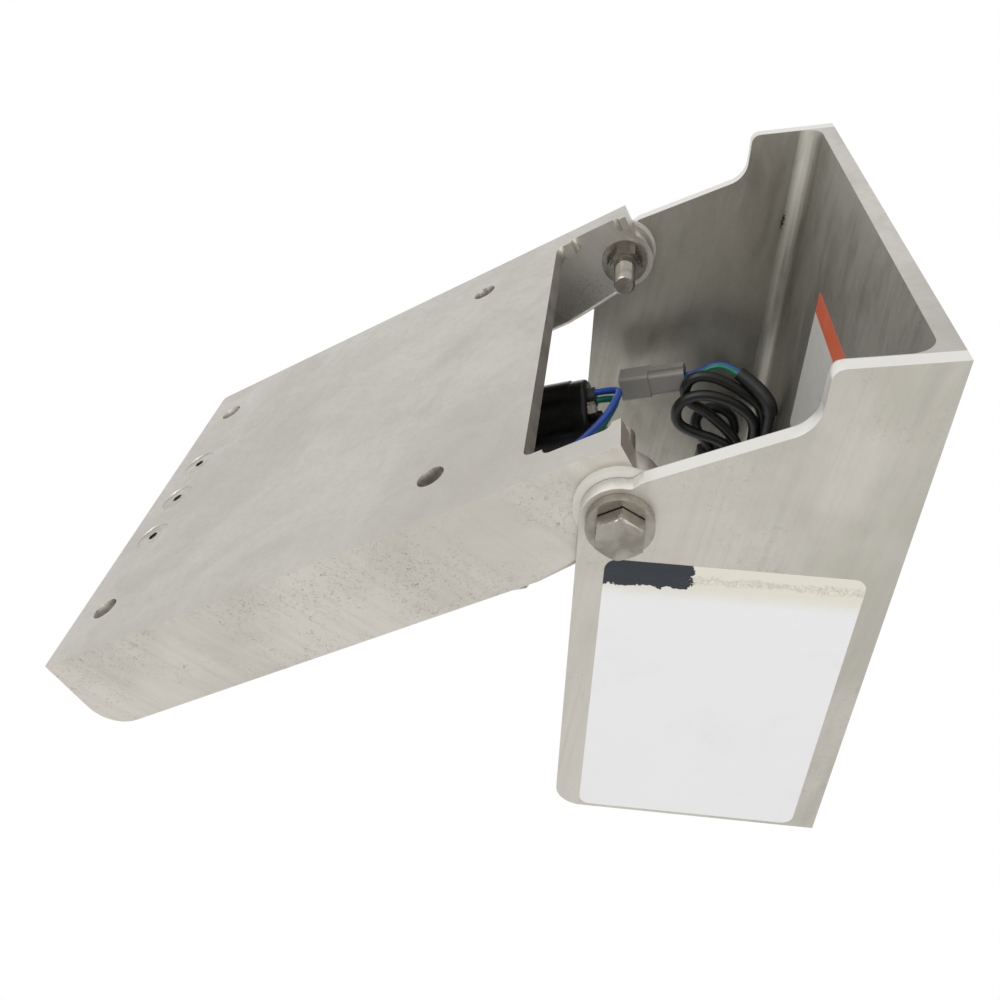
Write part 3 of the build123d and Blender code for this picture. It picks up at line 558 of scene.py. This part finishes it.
FINISHES = {finish.name: finish for finish in (
    # the third and fourth colours of each sheet are the painted light of its sideways faces
    SheetAluminium("plate_aluminium", (0.545, 0.525, 0.485), (0.48, 0.46, 0.42), (0.64, 0.61, 0.55),
                   (0.54, 0.51, 0.455), PLATE_TURN, 0.85, 0.2),
    SheetAluminium("bracket_aluminium", (0.58, 0.56, 0.52), (0.46, 0.445, 0.405),
                   (0.60, 0.575, 0.52), (0.50, 0.48, 0.425), -LEAN, 0.35, 0.5, smooth=0.42,
                   rough=0.56, inside_width=281.9 * MM),
    BareMetal("machined_aluminium", (0.62, 0.62, 0.61), (0.52, 0.52, 0.51), 0.3),
    BareMetal("stainless", (0.50, 0.475, 0.43), (0.36, 0.34, 0.30), 0.2),
    BareMetal("bright_stainless", (0.37, 0.345, 0.305), (0.24, 0.22, 0.19), 0.22,
              Cloud((60.0, 90.0, 90.0), 3.0, 0.6)),
    BareMetal("bronze", (0.50, 0.33, 0.17), (0.33, 0.21, 0.10), 0.28),
    BareMetal("chrome", (0.74, 0.74, 0.74), (0.66, 0.66, 0.66), 0.05),
    BareMetal("turned_steel", (0.44, 0.44, 0.44), (0.34, 0.34, 0.34), 0.3),
    Moulded("black_paint", (0.002, 0.002, 0.002), (0.006, 0.006, 0.006), 0.2, 220.0, 0.22),
    Moulded("black_plastic", (0.009, 0.009, 0.010), (0.03, 0.03, 0.031), 0.34),
    Moulded("black_rubber", (0.008, 0.008, 0.008), (0.028, 0.028, 0.028), 0.38, 1400.0),
    Moulded("shrink_sleeve", (0.010, 0.010, 0.011), (0.03, 0.03, 0.03), 0.42, 1100.0),
    Moulded("grey_plastic", (0.28, 0.265, 0.245), (0.36, 0.345, 0.32), 0.36),
    Moulded("dark_plastic", (0.05, 0.05, 0.05), (0.12, 0.12, 0.115), 0.36),
    Moulded("acetal", (0.62, 0.60, 0.55), (0.5, 0.48, 0.44), 0.4),
    Moulded("orange_silicone", (0.62, 0.10, 0.03), (0.5, 0.12, 0.05), 0.45),
    Moulded("blue_insulation", (0.012, 0.075, 0.42), (0.04, 0.11, 0.42), 0.26),
    Moulded("green_insulation", (0.008, 0.20, 0.12), (0.03, 0.24, 0.16), 0.26),
)}


@cache
def material(finish: str) -> Material:
    """The material of a finish, made once and shared by the pieces."""
    return FINISHES[finish].build()


# Mesh helpers


def dress(piece: bpy.types.Object, finish: Material) -> None:
    """Give a piece one finish all over."""
    piece.data.materials.clear()
    piece.data.materials.append(finish)


def dress_nodes(finish: str, *nodes: str) -> None:
    """Give CAD nodes one of the finishes."""
    for node in nodes:
        dress(frame["nodes"][node], material(finish))


def soften(node: str, width: float) -> None:
    """Round the sharp edges of a CAD node.

    Args:
        node: Name of the node.
        width: Width of the rounding in millimetres.
    """
    modifiers = frame["nodes"][node].modifiers
    weld = modifiers.new("join_faces", "WELD")
    weld.merge_threshold = WELD_REACH * MM
    bevel = modifiers.new("edge_break", "BEVEL")
    bevel.width = width * MM
    bevel.segments = BREAK_STEPS
    bevel.limit_method = "ANGLE"
    bevel.angle_limit = math.radians(BREAK_ANGLE)
    bevel.harden_normals = True


def as_object(name: str, mesh: bmesh.types.BMesh, place: Matrix,
              smooth: bool = True) -> bpy.types.Object:
    """Turn a built mesh into an object in the scene.

    Args:
        name: Name of the piece.
        mesh: The built mesh, which is freed.
        place: Where the piece's own axes are.
        smooth: Whether faces are shaded smooth by angle.

    Returns:
        The object.
    """
    data = bpy.data.meshes.new(name)
    bmesh.ops.recalc_face_normals(mesh, faces=mesh.faces)
    mesh.to_mesh(data)
    mesh.free()
    piece = bpy.data.objects.new(name, data)
    bpy.context.scene.collection.objects.link(piece)
    piece.matrix_world = place
    if smooth:
        data.shade_smooth()
        data.set_sharp_from_angle(angle=math.radians(SMOOTH_ANGLE))
    return piece


def axes(origin: Vector, along: Vector, up: Vector) -> Matrix:
    """Own axes of a flat piece: X along it, Y up it and Z out of it.

    Args:
        origin: Middle of the piece in the frame.
        along: Direction along it.
        up: Direction up it.

    Returns:
        The place of the piece.
    """
    x = along.normalized()
    z = x.cross(up).normalized()
    y = z.cross(x)
    return Matrix.Translation(origin) @ Matrix((x, y, z)).transposed().to_4x4()


def curve_piece(name: str, points: list[Vector], diameter: float, finish: str) -> bpy.types.Object:
    """A round cord along one smooth open spline.

    Args:
        name: Name of the piece.
        points: Control points of the spline in metres.
        diameter: Diameter of the cord in metres.
        finish: Name of its finish.

    Returns:
        The curve object.
    """
    curve = bpy.data.curves.new(name, "CURVE")
    curve.dimensions = "3D"
    spline = curve.splines.new("NURBS")
    spline.points.add(len(points) - 1)
    for spot, target in zip(points, spline.points):
        target.co = (*spot, 1.0)
    spline.order_u = 3
    spline.use_endpoint_u = True
    curve.resolution_u = CORD_STEPS
    curve.bevel_depth = diameter / 2
    curve.bevel_resolution = CORD_ROUND
    curve.use_fill_caps = True
    piece = bpy.data.objects.new(name, curve)
    bpy.context.scene.collection.objects.link(piece)
    curve.materials.append(material(finish))
    return piece


# Sub-assemblies


def joint(name: str) -> dict:
    """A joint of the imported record."""
    return next(j for j in frame["joints"] if j["name"] == name)


HINGE = Vector(joint("tilt")["pos_m"])
LOWER_PIN = Vector(joint("cylinder_swing")["pos_m"])
ROD_AXIS = Vector(joint("rod_slide")["axis"])
UPRIGHT = Matrix.Rotation(-math.radians(LEAN), 3, "X")


def about_hinge(x: float, y: float, z: float) -> Vector:
    """A place in the motor bracket, from millimetres about the hinge axis to the frame."""
    return HINGE + UPRIGHT @ (Vector((x, y, z)) * MM)


@dataclass
class TransomSide:
    """Transom plate, lower actuator bracket and the screws that hold it."""

    edge_break: float = 0.5

    def build(self) -> None:
        """Dress the CAD pieces."""
        dress_nodes("plate_aluminium", "transom_plate")
        soften("transom_plate", self.edge_break)
        dress_nodes("machined_aluminium", "actuator_bracket")
        dress_nodes("stainless", "bracket_screws", "lower_pivot_pin", "lower_pin_clips")


@dataclass
class MotorSide:
    """Motor bracket with its bushes and the clevis of the actuator."""

    edge_break: float = 0.6

    def build(self) -> None:
        """Dress the CAD pieces."""
        dress_nodes("bracket_aluminium", "motor_bracket")
        soften("motor_bracket", self.edge_break)
        dress_nodes("machined_aluminium", "upper_clevis")
        dress_nodes("bronze", "hinge_bushes")
        dress_nodes("stainless", "clevis_screws", "upper_pivot_pin", "upper_pin_clips")


@dataclass
class HingeHardware:
    """Hinge bolts with real threads, washers and lock nuts."""

    shank_radius: float = 6.35
    root_radius: float = 5.62
    pitch: float = 1.954
    steps_a_pitch: int = 6
    thread_length: float = 30.0
    end_chamfer: float = 1.2
    head_width: float = 19.05
    head_height: float = 7.9
    bolt_length: float = 69.85
    segments: int = 40
    steps_a_flat: int = 12
    washer_face: tuple[Place, ...] = ((0.0, 0.0, 0.93), (0.08, 0.0, 0.93), (0.085, 1.0, 1.0),
                                      (0.84, 1.0, 1.0))
    chamfer: tuple[tuple[float, float], ...] = ((0.86, 1.14), (0.9, 1.085), (0.945, 1.02),
                                                (0.975, 0.975), (1.0, 0.93))

    def lathe(self, mesh: bmesh.types.BMesh, rows: list[list[Vector]]) -> None:
        """Skin closed rings of points one to the next, and close both ends.

        Args:
            mesh: Mesh to add to.
            rows: Rings with the same number of points.
        """
        rings = [[mesh.verts.new(p) for p in row] for row in rows]
        for first, second in zip(rings, rings[1:]):
            count = len(first)
            for i in range(count):
                after = (i + 1) % count
                mesh.faces.new((first[i], first[after], second[after], second[i]))
        mesh.faces.new(rings[0])
        mesh.faces.new(rings[-1])

    def thread_rows(self, side: int, start: float, end: float) -> list[list[Vector]]:
        """Rings of the threaded shank from its tip to the seat of its head.

        Args:
            side: -1 or 1, the way the bolt's head points along X.
            start: Distance of the tip from the middle of the unit, in millimetres.
            end: The same for the seat of the head.

        Returns:
            Rings of points in metres.
        """
        rows = []
        step = self.pitch / self.steps_a_pitch
        depth = self.shank_radius - self.root_radius
        count = int(self.thread_length / step)
        places = [start] + [start + (i + 0.5) * step for i in range(count)] + [end]
        for x in places:
            ring = []
            for i in range(self.segments):
                angle = 2 * math.pi * i / self.segments
                phase = (x / self.pitch + side * i / self.segments) % 1.0
                radius = self.root_radius + depth * abs(2 * phase - 1)
                if x > start + self.thread_length - step or x == end:
                    radius = self.shank_radius
                radius = min(radius, self.shank_radius - self.end_chamfer + (x - start))
                ring.append(self.on_ring(side * x, radius, angle))
            rows.append(ring)
        return rows

    def hexagon_rows(self, side: int, seat: float) -> list[list[Vector]]:
        """Rings of the hexagon head, from its washer face to its chamfered top.

        Args:
            side: -1 or 1, the way the bolt's head points along X.
            seat: Distance of the washer face from the middle of the unit, in millimetres.

        Returns:
            Rings of points in metres.
        """
        flat = self.head_width / 2
        rows = []
        for share, corner, scale in self.washer_face:
            x = seat + share * self.head_height
            rows.append(self.hex_ring(side * x, flat * scale, corner, math.inf))
        for share, limit in self.chamfer:
            x = seat + share * self.head_height
            rows.append(self.hex_ring(side * x, flat, 1.0, flat * limit))
        return rows

    def hex_ring(self, x: float, flat: float, corner: float, limit: float) -> list[Vector]:
        """One ring of the head, between a circle and a hexagon.

        Args:
            x: Its place along the bolt, in millimetres.
            flat: Distance of a flat from the bolt's axis.
            corner: 0 for a circle, 1 for a hexagon.
            limit: Radius that cuts its corners.

        Returns:
            Its points in metres.
        """
        ring = []
        count = 6 * self.steps_a_flat
        for i in range(count):
            angle = 2 * math.pi * i / count
            turn = (angle + math.pi / 6) % (math.pi / 3) - math.pi / 6
            radius = min(flat * (corner / math.cos(turn) + 1.0 - corner), limit)
            ring.append(self.on_ring(x, radius, angle))
        return ring

    def on_ring(self, x: float, radius: float, angle: float) -> Vector:
        """A point at that radius and angle about the bolt's axis, from millimetres to metres."""
        return Vector((x, radius * math.cos(angle), radius * math.sin(angle))) * MM

    def bolt(self, side: Side) -> bpy.types.Object:
        """One hinge bolt, at the place of its CAD solid.

        Args:
            side: Side of the unit that it is on.

        Returns:
            The bolt.
        """
        head_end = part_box("hinge_bolts")[1][0] / MM
        seat = head_end - self.head_height
        tip = seat - self.bolt_length
        mesh = bmesh.new()
        self.lathe(mesh, self.thread_rows(side.value, tip, seat))
        self.lathe(mesh, self.hexagon_rows(side.value, seat))
        place = Matrix.Translation(HINGE) @ Matrix.Rotation(math.radians(PLATE_TURN), 4, "X")
        piece = as_object(f"hinge_bolt_{side.name.lower()}", mesh, place)
        dress(piece, material("bright_stainless"))
        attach(piece, Body.TRANSOM.value)
        return piece

    def build(self) -> None:
        """Make the bolts and dress the rest."""
        for side in Side:
            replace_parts(self.bolt(side), "hinge_bolts")
        dress_nodes("bright_stainless", "outer_washers", "inner_washers", "lock_nuts")
        dress_nodes("acetal", "thrust_washers")


@dataclass
class Actuator:
    """Hydraulic cylinder, pump, electric motor and the motor's two leads."""

    cylinder_side: float = -58.0
    motor_side: float = 54.5
    motor_drop: float = 2.7
    motor_end: float = 229.5
    grommet_height: float = 4.0
    lead_exit: tuple[float, float] = (2.5, 15.2)
    lead_diameter: float = 4.2
    lead_pitch: float = 5.4
    lead_rise: float = 12.5
    lead_spread: float = 3.0
    lead_bends: tuple[Place, ...] = ((40.0, 3.0, 1.0), (12.0, 4.0, 10.0), (-34.0, 9.5, 37.0))
    lead_landing: float = 36.0
    plug_y: float = 32.2
    plug_top: float = 154.0
    lead_length: tuple[float, float] = (0.179, 0.172)  # metres
    gland_round: float = 2.4

    def place(self, x: float, y: float, z: float) -> Vector:
        """From millimetres along the actuator to the frame."""
        out = Vector((0.0, ROD_AXIS.z, -ROD_AXIS.y))
        return LOWER_PIN + (Vector((x, 0, 0)) + y * out + z * ROD_AXIS) * MM

    def lead(self, side: int, finish: str, node: str) -> None:
        """One motor lead, from the boot on the end cap to its plug.

        Args:
            side: -1 or 1, the lead's place beside the other.
            finish: Name of its finish and slot.
            node: CAD node that it stands for.
        """
        x = self.motor_side + self.lead_exit[0]
        y = self.lead_exit[1] - self.motor_drop + side * self.lead_pitch / 2
        boot = self.motor_end + self.grommet_height
        crest = boot + self.lead_rise + self.lead_spread * (1 + side) / 2
        end_x = self.cylinder_side - side * self.lead_pitch / 2
        route = [(x, y, boot), (x, y, crest)]
        route += [(bx, y + by, crest - bz) for bx, by, bz in self.lead_bends]
        route += [(end_x, self.plug_y, self.plug_top + self.lead_landing),
                  (end_x, self.plug_y, self.plug_top)]
        points = [self.place(*p) for p in route]
        piece = curve_piece(node + "_spline", points, self.lead_diameter * MM, finish)
        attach(piece, Body.CYLINDER.value)
        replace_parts(piece, node)

    def build(self) -> None:
        """Make the leads and dress the rest."""
        self.lead(1, "blue_insulation", "blue_lead")
        self.lead(-1, "green_insulation", "green_lead")
        dress_nodes("machined_aluminium", "manifold_block", "gland")
        soften("gland", self.gland_round)
        dress_nodes("bronze", "lower_eye_bush", "piston_ring")
        dress_nodes("black_paint", "cylinder_tube", "reservoir", "motor_case", "motor_end_cap")
        dress_nodes("black_rubber", "rod_wiper", "lead_grommet")
        dress_nodes("black_plastic", "terminal_clip", "lead_plug", "plug_strap")
        dress_nodes("stainless", "pressure_line", "pipe_nuts", "relief_screw", "fill_plug",
                    "motor_bolts")
        dress_nodes("chrome", "piston_rod", "rod_eye")
        dress_nodes("turned_steel", "piston")


@dataclass(frozen=True)
class Turn:
    """One long turn of the hank: where its legs stand, and the way of its top."""

    leg_x: float
    end_x: float
    inward: float
    top: tuple[Place, ...]
    back_leg: float = 105.8
    front_leg: float = 85.8

    def points(self) -> list[Place]:
        """Places round the turn.

        Returns:
            Points in millimetres, from the top of the back leg down and round.
        """
        leg, end = self.leg_x, self.end_x
        back, front = self.back_leg - self.inward, self.front_leg + self.inward
        return [(leg, back, 80.0), (leg, back, 59.0), (leg, back, 38.0),
                (end, 107.0, 21.0), (end, 103.0, 5.0), (end, 90.0, 3.8), (end, 83.5, 14.0),
                (leg, front - 1.5, 33.0), (leg, front, 50.0), (leg, front, 66.0), *self.top]


@dataclass
class Harness:
    """Loose cable with a connector at each end, folded into a hank in the far corner."""

    diameter: float = 7.0
    sleeve_diameter: float = 9.4
    sleeve_end: float = 0.3  # share of the last span that it covers
    wire_diameter: float = 3.4
    wire_pitch: float = 4.4
    wire_straight: float = 8.0
    wire_bow: float = 4.0
    wire_sunk: float = 2.0
    length: float = 0.875  # metres
    lead_in: tuple[Place, ...] = ((102.5, 82.0, 123.5), (98.0, 90.0, 120.5), (92.0, 98.0, 116.5),
                                  (87.4, 104.0, 110.5), (87.2, 105.0, 96.0))
    turns: tuple[Turn, ...] = (
        Turn(87.6, 86.2, 0.0, ((88.0, 84.5, 77.0), (89.0, 74.0, 81.5), (89.5, 61.0, 83.5),
                               (90.0, 49.0, 88.0), (90.5, 45.5, 98.0), (90.5, 50.0, 107.5),
                               (90.0, 61.0, 112.5), (89.5, 76.0, 111.0), (90.0, 88.5, 105.0),
                               (91.0, 97.5, 96.0))),
        Turn(92.2, 93.2, 6.5, ((92.4, 90.5, 79.0), (95.0, 77.0, 89.5), (96.5, 64.0, 98.0),
                               (97.0, 53.5, 101.5), (97.0, 49.0, 111.0), (97.0, 53.0, 120.5),
                               (96.5, 64.0, 122.5), (96.0, 77.0, 118.5), (95.5, 90.0, 112.0),
                               (96.0, 101.5, 104.0))),
        Turn(96.8, 100.2, 0.0, ((98.5, 85.5, 74.0), (101.0, 88.5, 82.0), (103.5, 84.5, 92.0),
                                (104.0, 74.5, 96.5), (104.0, 65.0, 93.5), (102.5, 61.0, 85.5))))
    tail: tuple[Place, ...] = ((98.5, 64.0, 78.5), (94.0, 71.5, 75.5), (92.2, 73.07, 69.7))
    plug_middle: Place = (110.6, 30.5, 106.5)
    plug_tilt: float = 20.0
    plug_yaw: float = 6.0
    seal_back: float = -19.0

    def place(self, x: float, back: float, z: float) -> Vector:
        """A place in the standing unit, back being the distance behind the hinge axis."""
        return Vector((x * MM, HINGE.y - back * MM, z * MM))

    def from_plug(self, x: float, y: float) -> Vector:
        """A place on the middle plane of the first plug, x across it and y forward."""
        turn = Euler((math.radians(-self.plug_tilt), 0.0, math.radians(-self.plug_yaw)))
        return self.place(*self.plug_middle) + turn.to_matrix() @ Vector((x, y, 0.0)) * MM

    def cable(self) -> bpy.types.Object:
        """The jacketed cable: its lead-in, its turns and its tail.

        Returns:
            The curve object.
        """
        route = [*self.lead_in, *(p for turn in self.turns for p in turn.points()), *self.tail]
        points = [self.place(*p) for p in route]
        piece = curve_piece("harness_cord", points, self.diameter * MM, "black_rubber")
        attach(piece, Body.MOTOR.value)
        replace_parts(piece, "harness_cable", "harness_coil", "harness_tail")
        return piece

    def sleeve(self) -> bpy.types.Object:
        """Shrink sleeve over the end of the jacket.

        Returns:
            The curve object.
        """
        points = [self.place(*p) for p in self.lead_in[:4]]
        points.append(points[3].lerp(self.place(*self.lead_in[4]), self.sleeve_end))
        piece = curve_piece("harness_sleeve", points, self.sleeve_diameter * MM, "shrink_sleeve")
        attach(piece, Body.MOTOR.value)
        return piece

    def wire(self, shift: float, finish: str, node: str) -> bpy.types.Object:
        """One wire between the seal of the plug and the cable's jacket.

        Args:
            shift: Its place beside the other, in steps of the wires' pitch.
            finish: Name of its finish and slot.
            node: CAD node that it stands for.

        Returns:
            The curve object.
        """
        x = shift * self.wire_pitch
        jacket = self.place(*self.lead_in[0])
        onward = (jacket - self.place(*self.lead_in[1])).normalized()
        across = (Vector((1, 0, 0)) - onward * onward.x).normalized()
        last = jacket + across * x * MM
        out = self.from_plug(x, self.seal_back - self.wire_straight)
        back = last + onward * self.wire_straight * MM
        crown = out.lerp(back, 0.5) + Vector((0.0, 0.0, self.wire_bow * MM))
        sunk = last - onward * self.wire_sunk * MM
        points = [self.from_plug(x, self.seal_back), out, crown, back, sunk]
        piece = curve_piece(node + "_spline", points, self.wire_diameter * MM, finish)
        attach(piece, Body.MOTOR.value)
        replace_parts(piece, node)
        return piece

    def build(self) -> None:
        """Make the cable and its wires, and dress the connectors."""
        cable = self.cable()
        wires = [self.wire(-0.5, "green_insulation", "green_wire"),
                 self.wire(0.5, "blue_insulation", "blue_wire")]
        nodes = [frame["nodes"][n]
                 for n in ("harness_plug", "harness_seal", "second_plug", "coil_tie")]
        self.place(*self.lead_in[0])
        wires + nodes + [self.sleeve()]
        dress_nodes("grey_plastic", "harness_plug")
        dress_nodes("dark_plastic", "second_plug")
        dress_nodes("orange_silicone", "harness_seal")
        dress_nodes("black_plastic", "coil_tie")


@dataclass
class Sticker:
    """A thin rounded sheet stuck on a wall of the bracket."""

    name: str
    origin: Place
    along: Place
    size: tuple[float, float]
    corner: float
    corner_steps: int = 6
    thick: float = 0.12

    def build(self, finish: Material) -> None:
        """Make the sheet, with its own X along the sticker, Y up and Z out of the wall.

        Args:
            finish: Its material.
        """
        mesh = bmesh.new()
        half_x, half_y = self.size[0] / 2, self.size[1] / 2
        outline = []
        for quarter in range(4):
            cx = (half_x - self.corner) * (1 if quarter in (0, 3) else -1)
            cy = (half_y - self.corner) * (1 if quarter in (0, 1) else -1)
            for i in range(self.corner_steps + 1):
                a = math.radians(90 * quarter + 90 * i / self.corner_steps)
                outline.append((cx + self.corner * math.cos(a), cy + self.corner * math.sin(a)))
        rings = [[mesh.verts.new((x * MM, y * MM, z * MM)) for x, y in outline]
                 for z in (0.0, self.thick)]
        mesh.faces.new(rings[1])
        mesh.faces.new(list(reversed(rings[0])))
        for i, (low, high) in enumerate(zip(*rings)):
            after = (i + 1) % len(outline)
            mesh.faces.new((low, rings[0][after], rings[1][after], high))
        place = axes(about_hinge(*self.origin), UPRIGHT @ Vector(self.along),
                     UPRIGHT @ Vector((0.0, 0.0, 1.0)))
        piece = as_object(self.name, mesh, place, smooth=False)
        dress(piece, finish)
        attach(piece, Body.MOTOR.value)


@dataclass
class Stickers:
    """The sticker on the near wall and the small one on the back plate."""

    wall: float = -148.5
    near_low: float = -179.3
    near_high: float = -19.4
    near_front: float = 4.2
    near_back: float = 102.2
    back_face: float = -105.26
    small_far: float = 52.5
    small_near: float = -40.0
    small_low: float = -66.0
    small_high: float = 17.7
    small_band_low: float = 5.4
    near_corner: float = 5.5
    small_corner: float = 2.0

    def build(self) -> None:
        """Make both stickers."""
        width = self.near_front + self.near_back
        height = self.near_high - self.near_low
        middle = (self.wall, (self.near_front - self.near_back) / 2,
                  (self.near_low + self.near_high) / 2)
        label = Sticker("near_wall_sticker", middle, (0.0, -1.0, 0.0), (width, height),
                        self.near_corner)
        label.build(StickerFace("near_sticker_vinyl", width * MM, height * MM).build())
        width = self.small_far - self.small_near
        height = self.small_high - self.small_low
        middle = ((self.small_far + self.small_near) / 2, self.back_face,
                  (self.small_low + self.small_high) / 2)
        band = (self.small_band_low - middle[2]) * MM
        small = Sticker("back_plate_sticker", middle, (-1.0, 0.0, 0.0), (width, height),
                        self.small_corner)
        small.build(TwoToneSticker("small_sticker_vinyl", band).build())


# Studio


@dataclass(frozen=True)
class Lamp:
    """A square soft lamp that points at the unit: place and size in metres, power in watts."""

    name: str
    place: Place
    size: float
    watts: float
    tint: Colour
    target: Place = (0.0, 0.0, 0.12)

    def build(self) -> None:
        """Make the lamp."""
        data = bpy.data.lights.new(self.name, "AREA")
        data.size = self.size
        data.energy = self.watts
        data.color = self.tint
        lamp = bpy.data.objects.new(self.name, data)
        lamp.location = self.place
        aim = Vector(self.target) - Vector(self.place)
        lamp.rotation_euler = aim.to_track_quat("-Z", "Y").to_euler()
        bpy.context.scene.collection.objects.link(lamp)


@dataclass
class Studio:
    """White floor, soft light and the camera of the photograph."""

    camera_place: Place = (-463.10, -42.53, 414.86)
    camera_turn: Place = (53.1216, -4.6595, -84.0907)
    lens: float = 35.2246
    sensor: float = 36.0
    shift: tuple[float, float] = (-0.007726, 0.010302)
    clip: tuple[float, float] = (0.01, 60.0)  # metres
    floor_size: float = 12.0  # metres
    floor_drop: float = 0.2
    paper: Colour = (0.82, 0.82, 0.82)
    paper_rough: float = 0.9
    sky: Colour = (0.95, 0.97, 1.0)
    sky_strength: float = 0.7
    lamps: tuple[Lamp, ...] = (
        Lamp("key_lamp", (-0.9, 1.0, 1.6), 1.2, 14.0, (1.0, 0.99, 0.97)),
        Lamp("fill_lamp", (-1.6, -1.0, 0.9), 1.4, 6.0, (0.97, 0.98, 1.0)))

    def camera(self) -> None:
        """Make the camera and set it as the scene's."""
        data = bpy.data.cameras.new("camera")
        data.sensor_width = self.sensor
        data.lens = self.lens
        data.shift_x, data.shift_y = self.shift
        data.clip_start, data.clip_end = self.clip
        eye = bpy.data.objects.new("camera", data)
        eye.location = Vector(self.camera_place) * MM
        eye.rotation_euler = [math.radians(a) for a in self.camera_turn]
        bpy.context.scene.collection.objects.link(eye)
        bpy.context.scene.camera = eye

    def white_when_seen(self, tree: bpy.types.NodeTree,
                        lit: Socket) -> Socket:
        """Show plain white instead of a lit surface to the rays that show a background.

        Args:
            tree: Node tree to add to.
            lit: Shader for the rays that carry light.

        Returns:
            The mixed shader.
        """
        path = tree.nodes.new("ShaderNodeLightPath")
        seen = path.outputs["Is Camera Ray"]
        for ray in ("Is Glossy Ray", "Is Transmission Ray"):
            either = tree.nodes.new("ShaderNodeMath")
            either.operation = "MAXIMUM"
            tree.links.new(seen, either.inputs[0])
            tree.links.new(path.outputs[ray], either.inputs[1])
            seen = either.outputs[0]
        white = tree.nodes.new("ShaderNodeEmission")
        return self.mixed(tree, seen, lit, white.outputs[0])

    def mixed(self, tree: bpy.types.NodeTree, share: Socket,
              first: Socket, second: Socket) -> Socket:
        """Mix two shaders.

        Args:
            tree: Node tree to add to.
            share: Share of the second shader.
            first: First shader.
            second: Second shader.

        Returns:
            The mixed shader.
        """
        mix = tree.nodes.new("ShaderNodeMixShader")
        for socket, source in zip(mix.inputs, (share, first, second)):
            tree.links.new(source, socket)
        return mix.outputs[0]

    def world(self) -> None:
        """Plain white surroundings."""
        world = bpy.data.worlds.new("studio")
        bpy.context.scene.world = world
        world.use_nodes = True
        tree = world.node_tree
        soft = tree.nodes["Background"]
        soft.inputs["Color"].default_value = (*self.sky, 1.0)
        soft.inputs["Strength"].default_value = self.sky_strength
        tree.links.new(self.white_when_seen(tree, soft.outputs[0]),
                       tree.nodes["World Output"].inputs["Surface"])

    def floor(self) -> None:
        """A wide white floor, clear from below."""
        mesh = bmesh.new()
        half = self.floor_size / 2
        mesh.faces.new([mesh.verts.new((x * half, y * half, -self.floor_drop * MM))
                        for x, y in ((-1, -1), (1, -1), (1, 1), (-1, 1))])
        piece = as_object("floor", mesh, Matrix.Identity(4), smooth=False)
        sheet = bpy.data.materials.new("floor_paper")
        sheet.use_nodes = True
        tree = sheet.node_tree
        paper = tree.nodes["Principled BSDF"]
        paper.inputs["Base Color"].default_value = (*self.paper, 1.0)
        paper.inputs["Roughness"].default_value = self.paper_rough
        white = self.white_when_seen(tree, paper.outputs[0])
        under = tree.nodes.new("ShaderNodeNewGeometry").outputs["Backfacing"]
        clear = tree.nodes.new("ShaderNodeBsdfTransparent").outputs[0]
        tree.links.new(self.mixed(tree, under, white, clear),
                       tree.nodes["Material Output"].inputs["Surface"])
        dress(piece, sheet)

    def build(self) -> None:
        """Set up camera, lamps, surroundings and floor."""
        bpy.context.scene.view_settings.view_transform = "Standard"
        self.camera()
        self.world()
        self.floor()
        for lamp in self.lamps:
            lamp.build()


def main() -> None:
    """Build every sub-assembly in order and report each."""
    logging.basicConfig(level=logging.INFO, format="%(message)s")
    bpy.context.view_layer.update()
    for part in (Studio(), Harness(), Actuator(), TransomSide(), MotorSide(), HingeHardware(),
                 Stickers()):
        part.build()
        log.info("built %s", type(part).__name__)


if __name__ == "__main__":
    main()
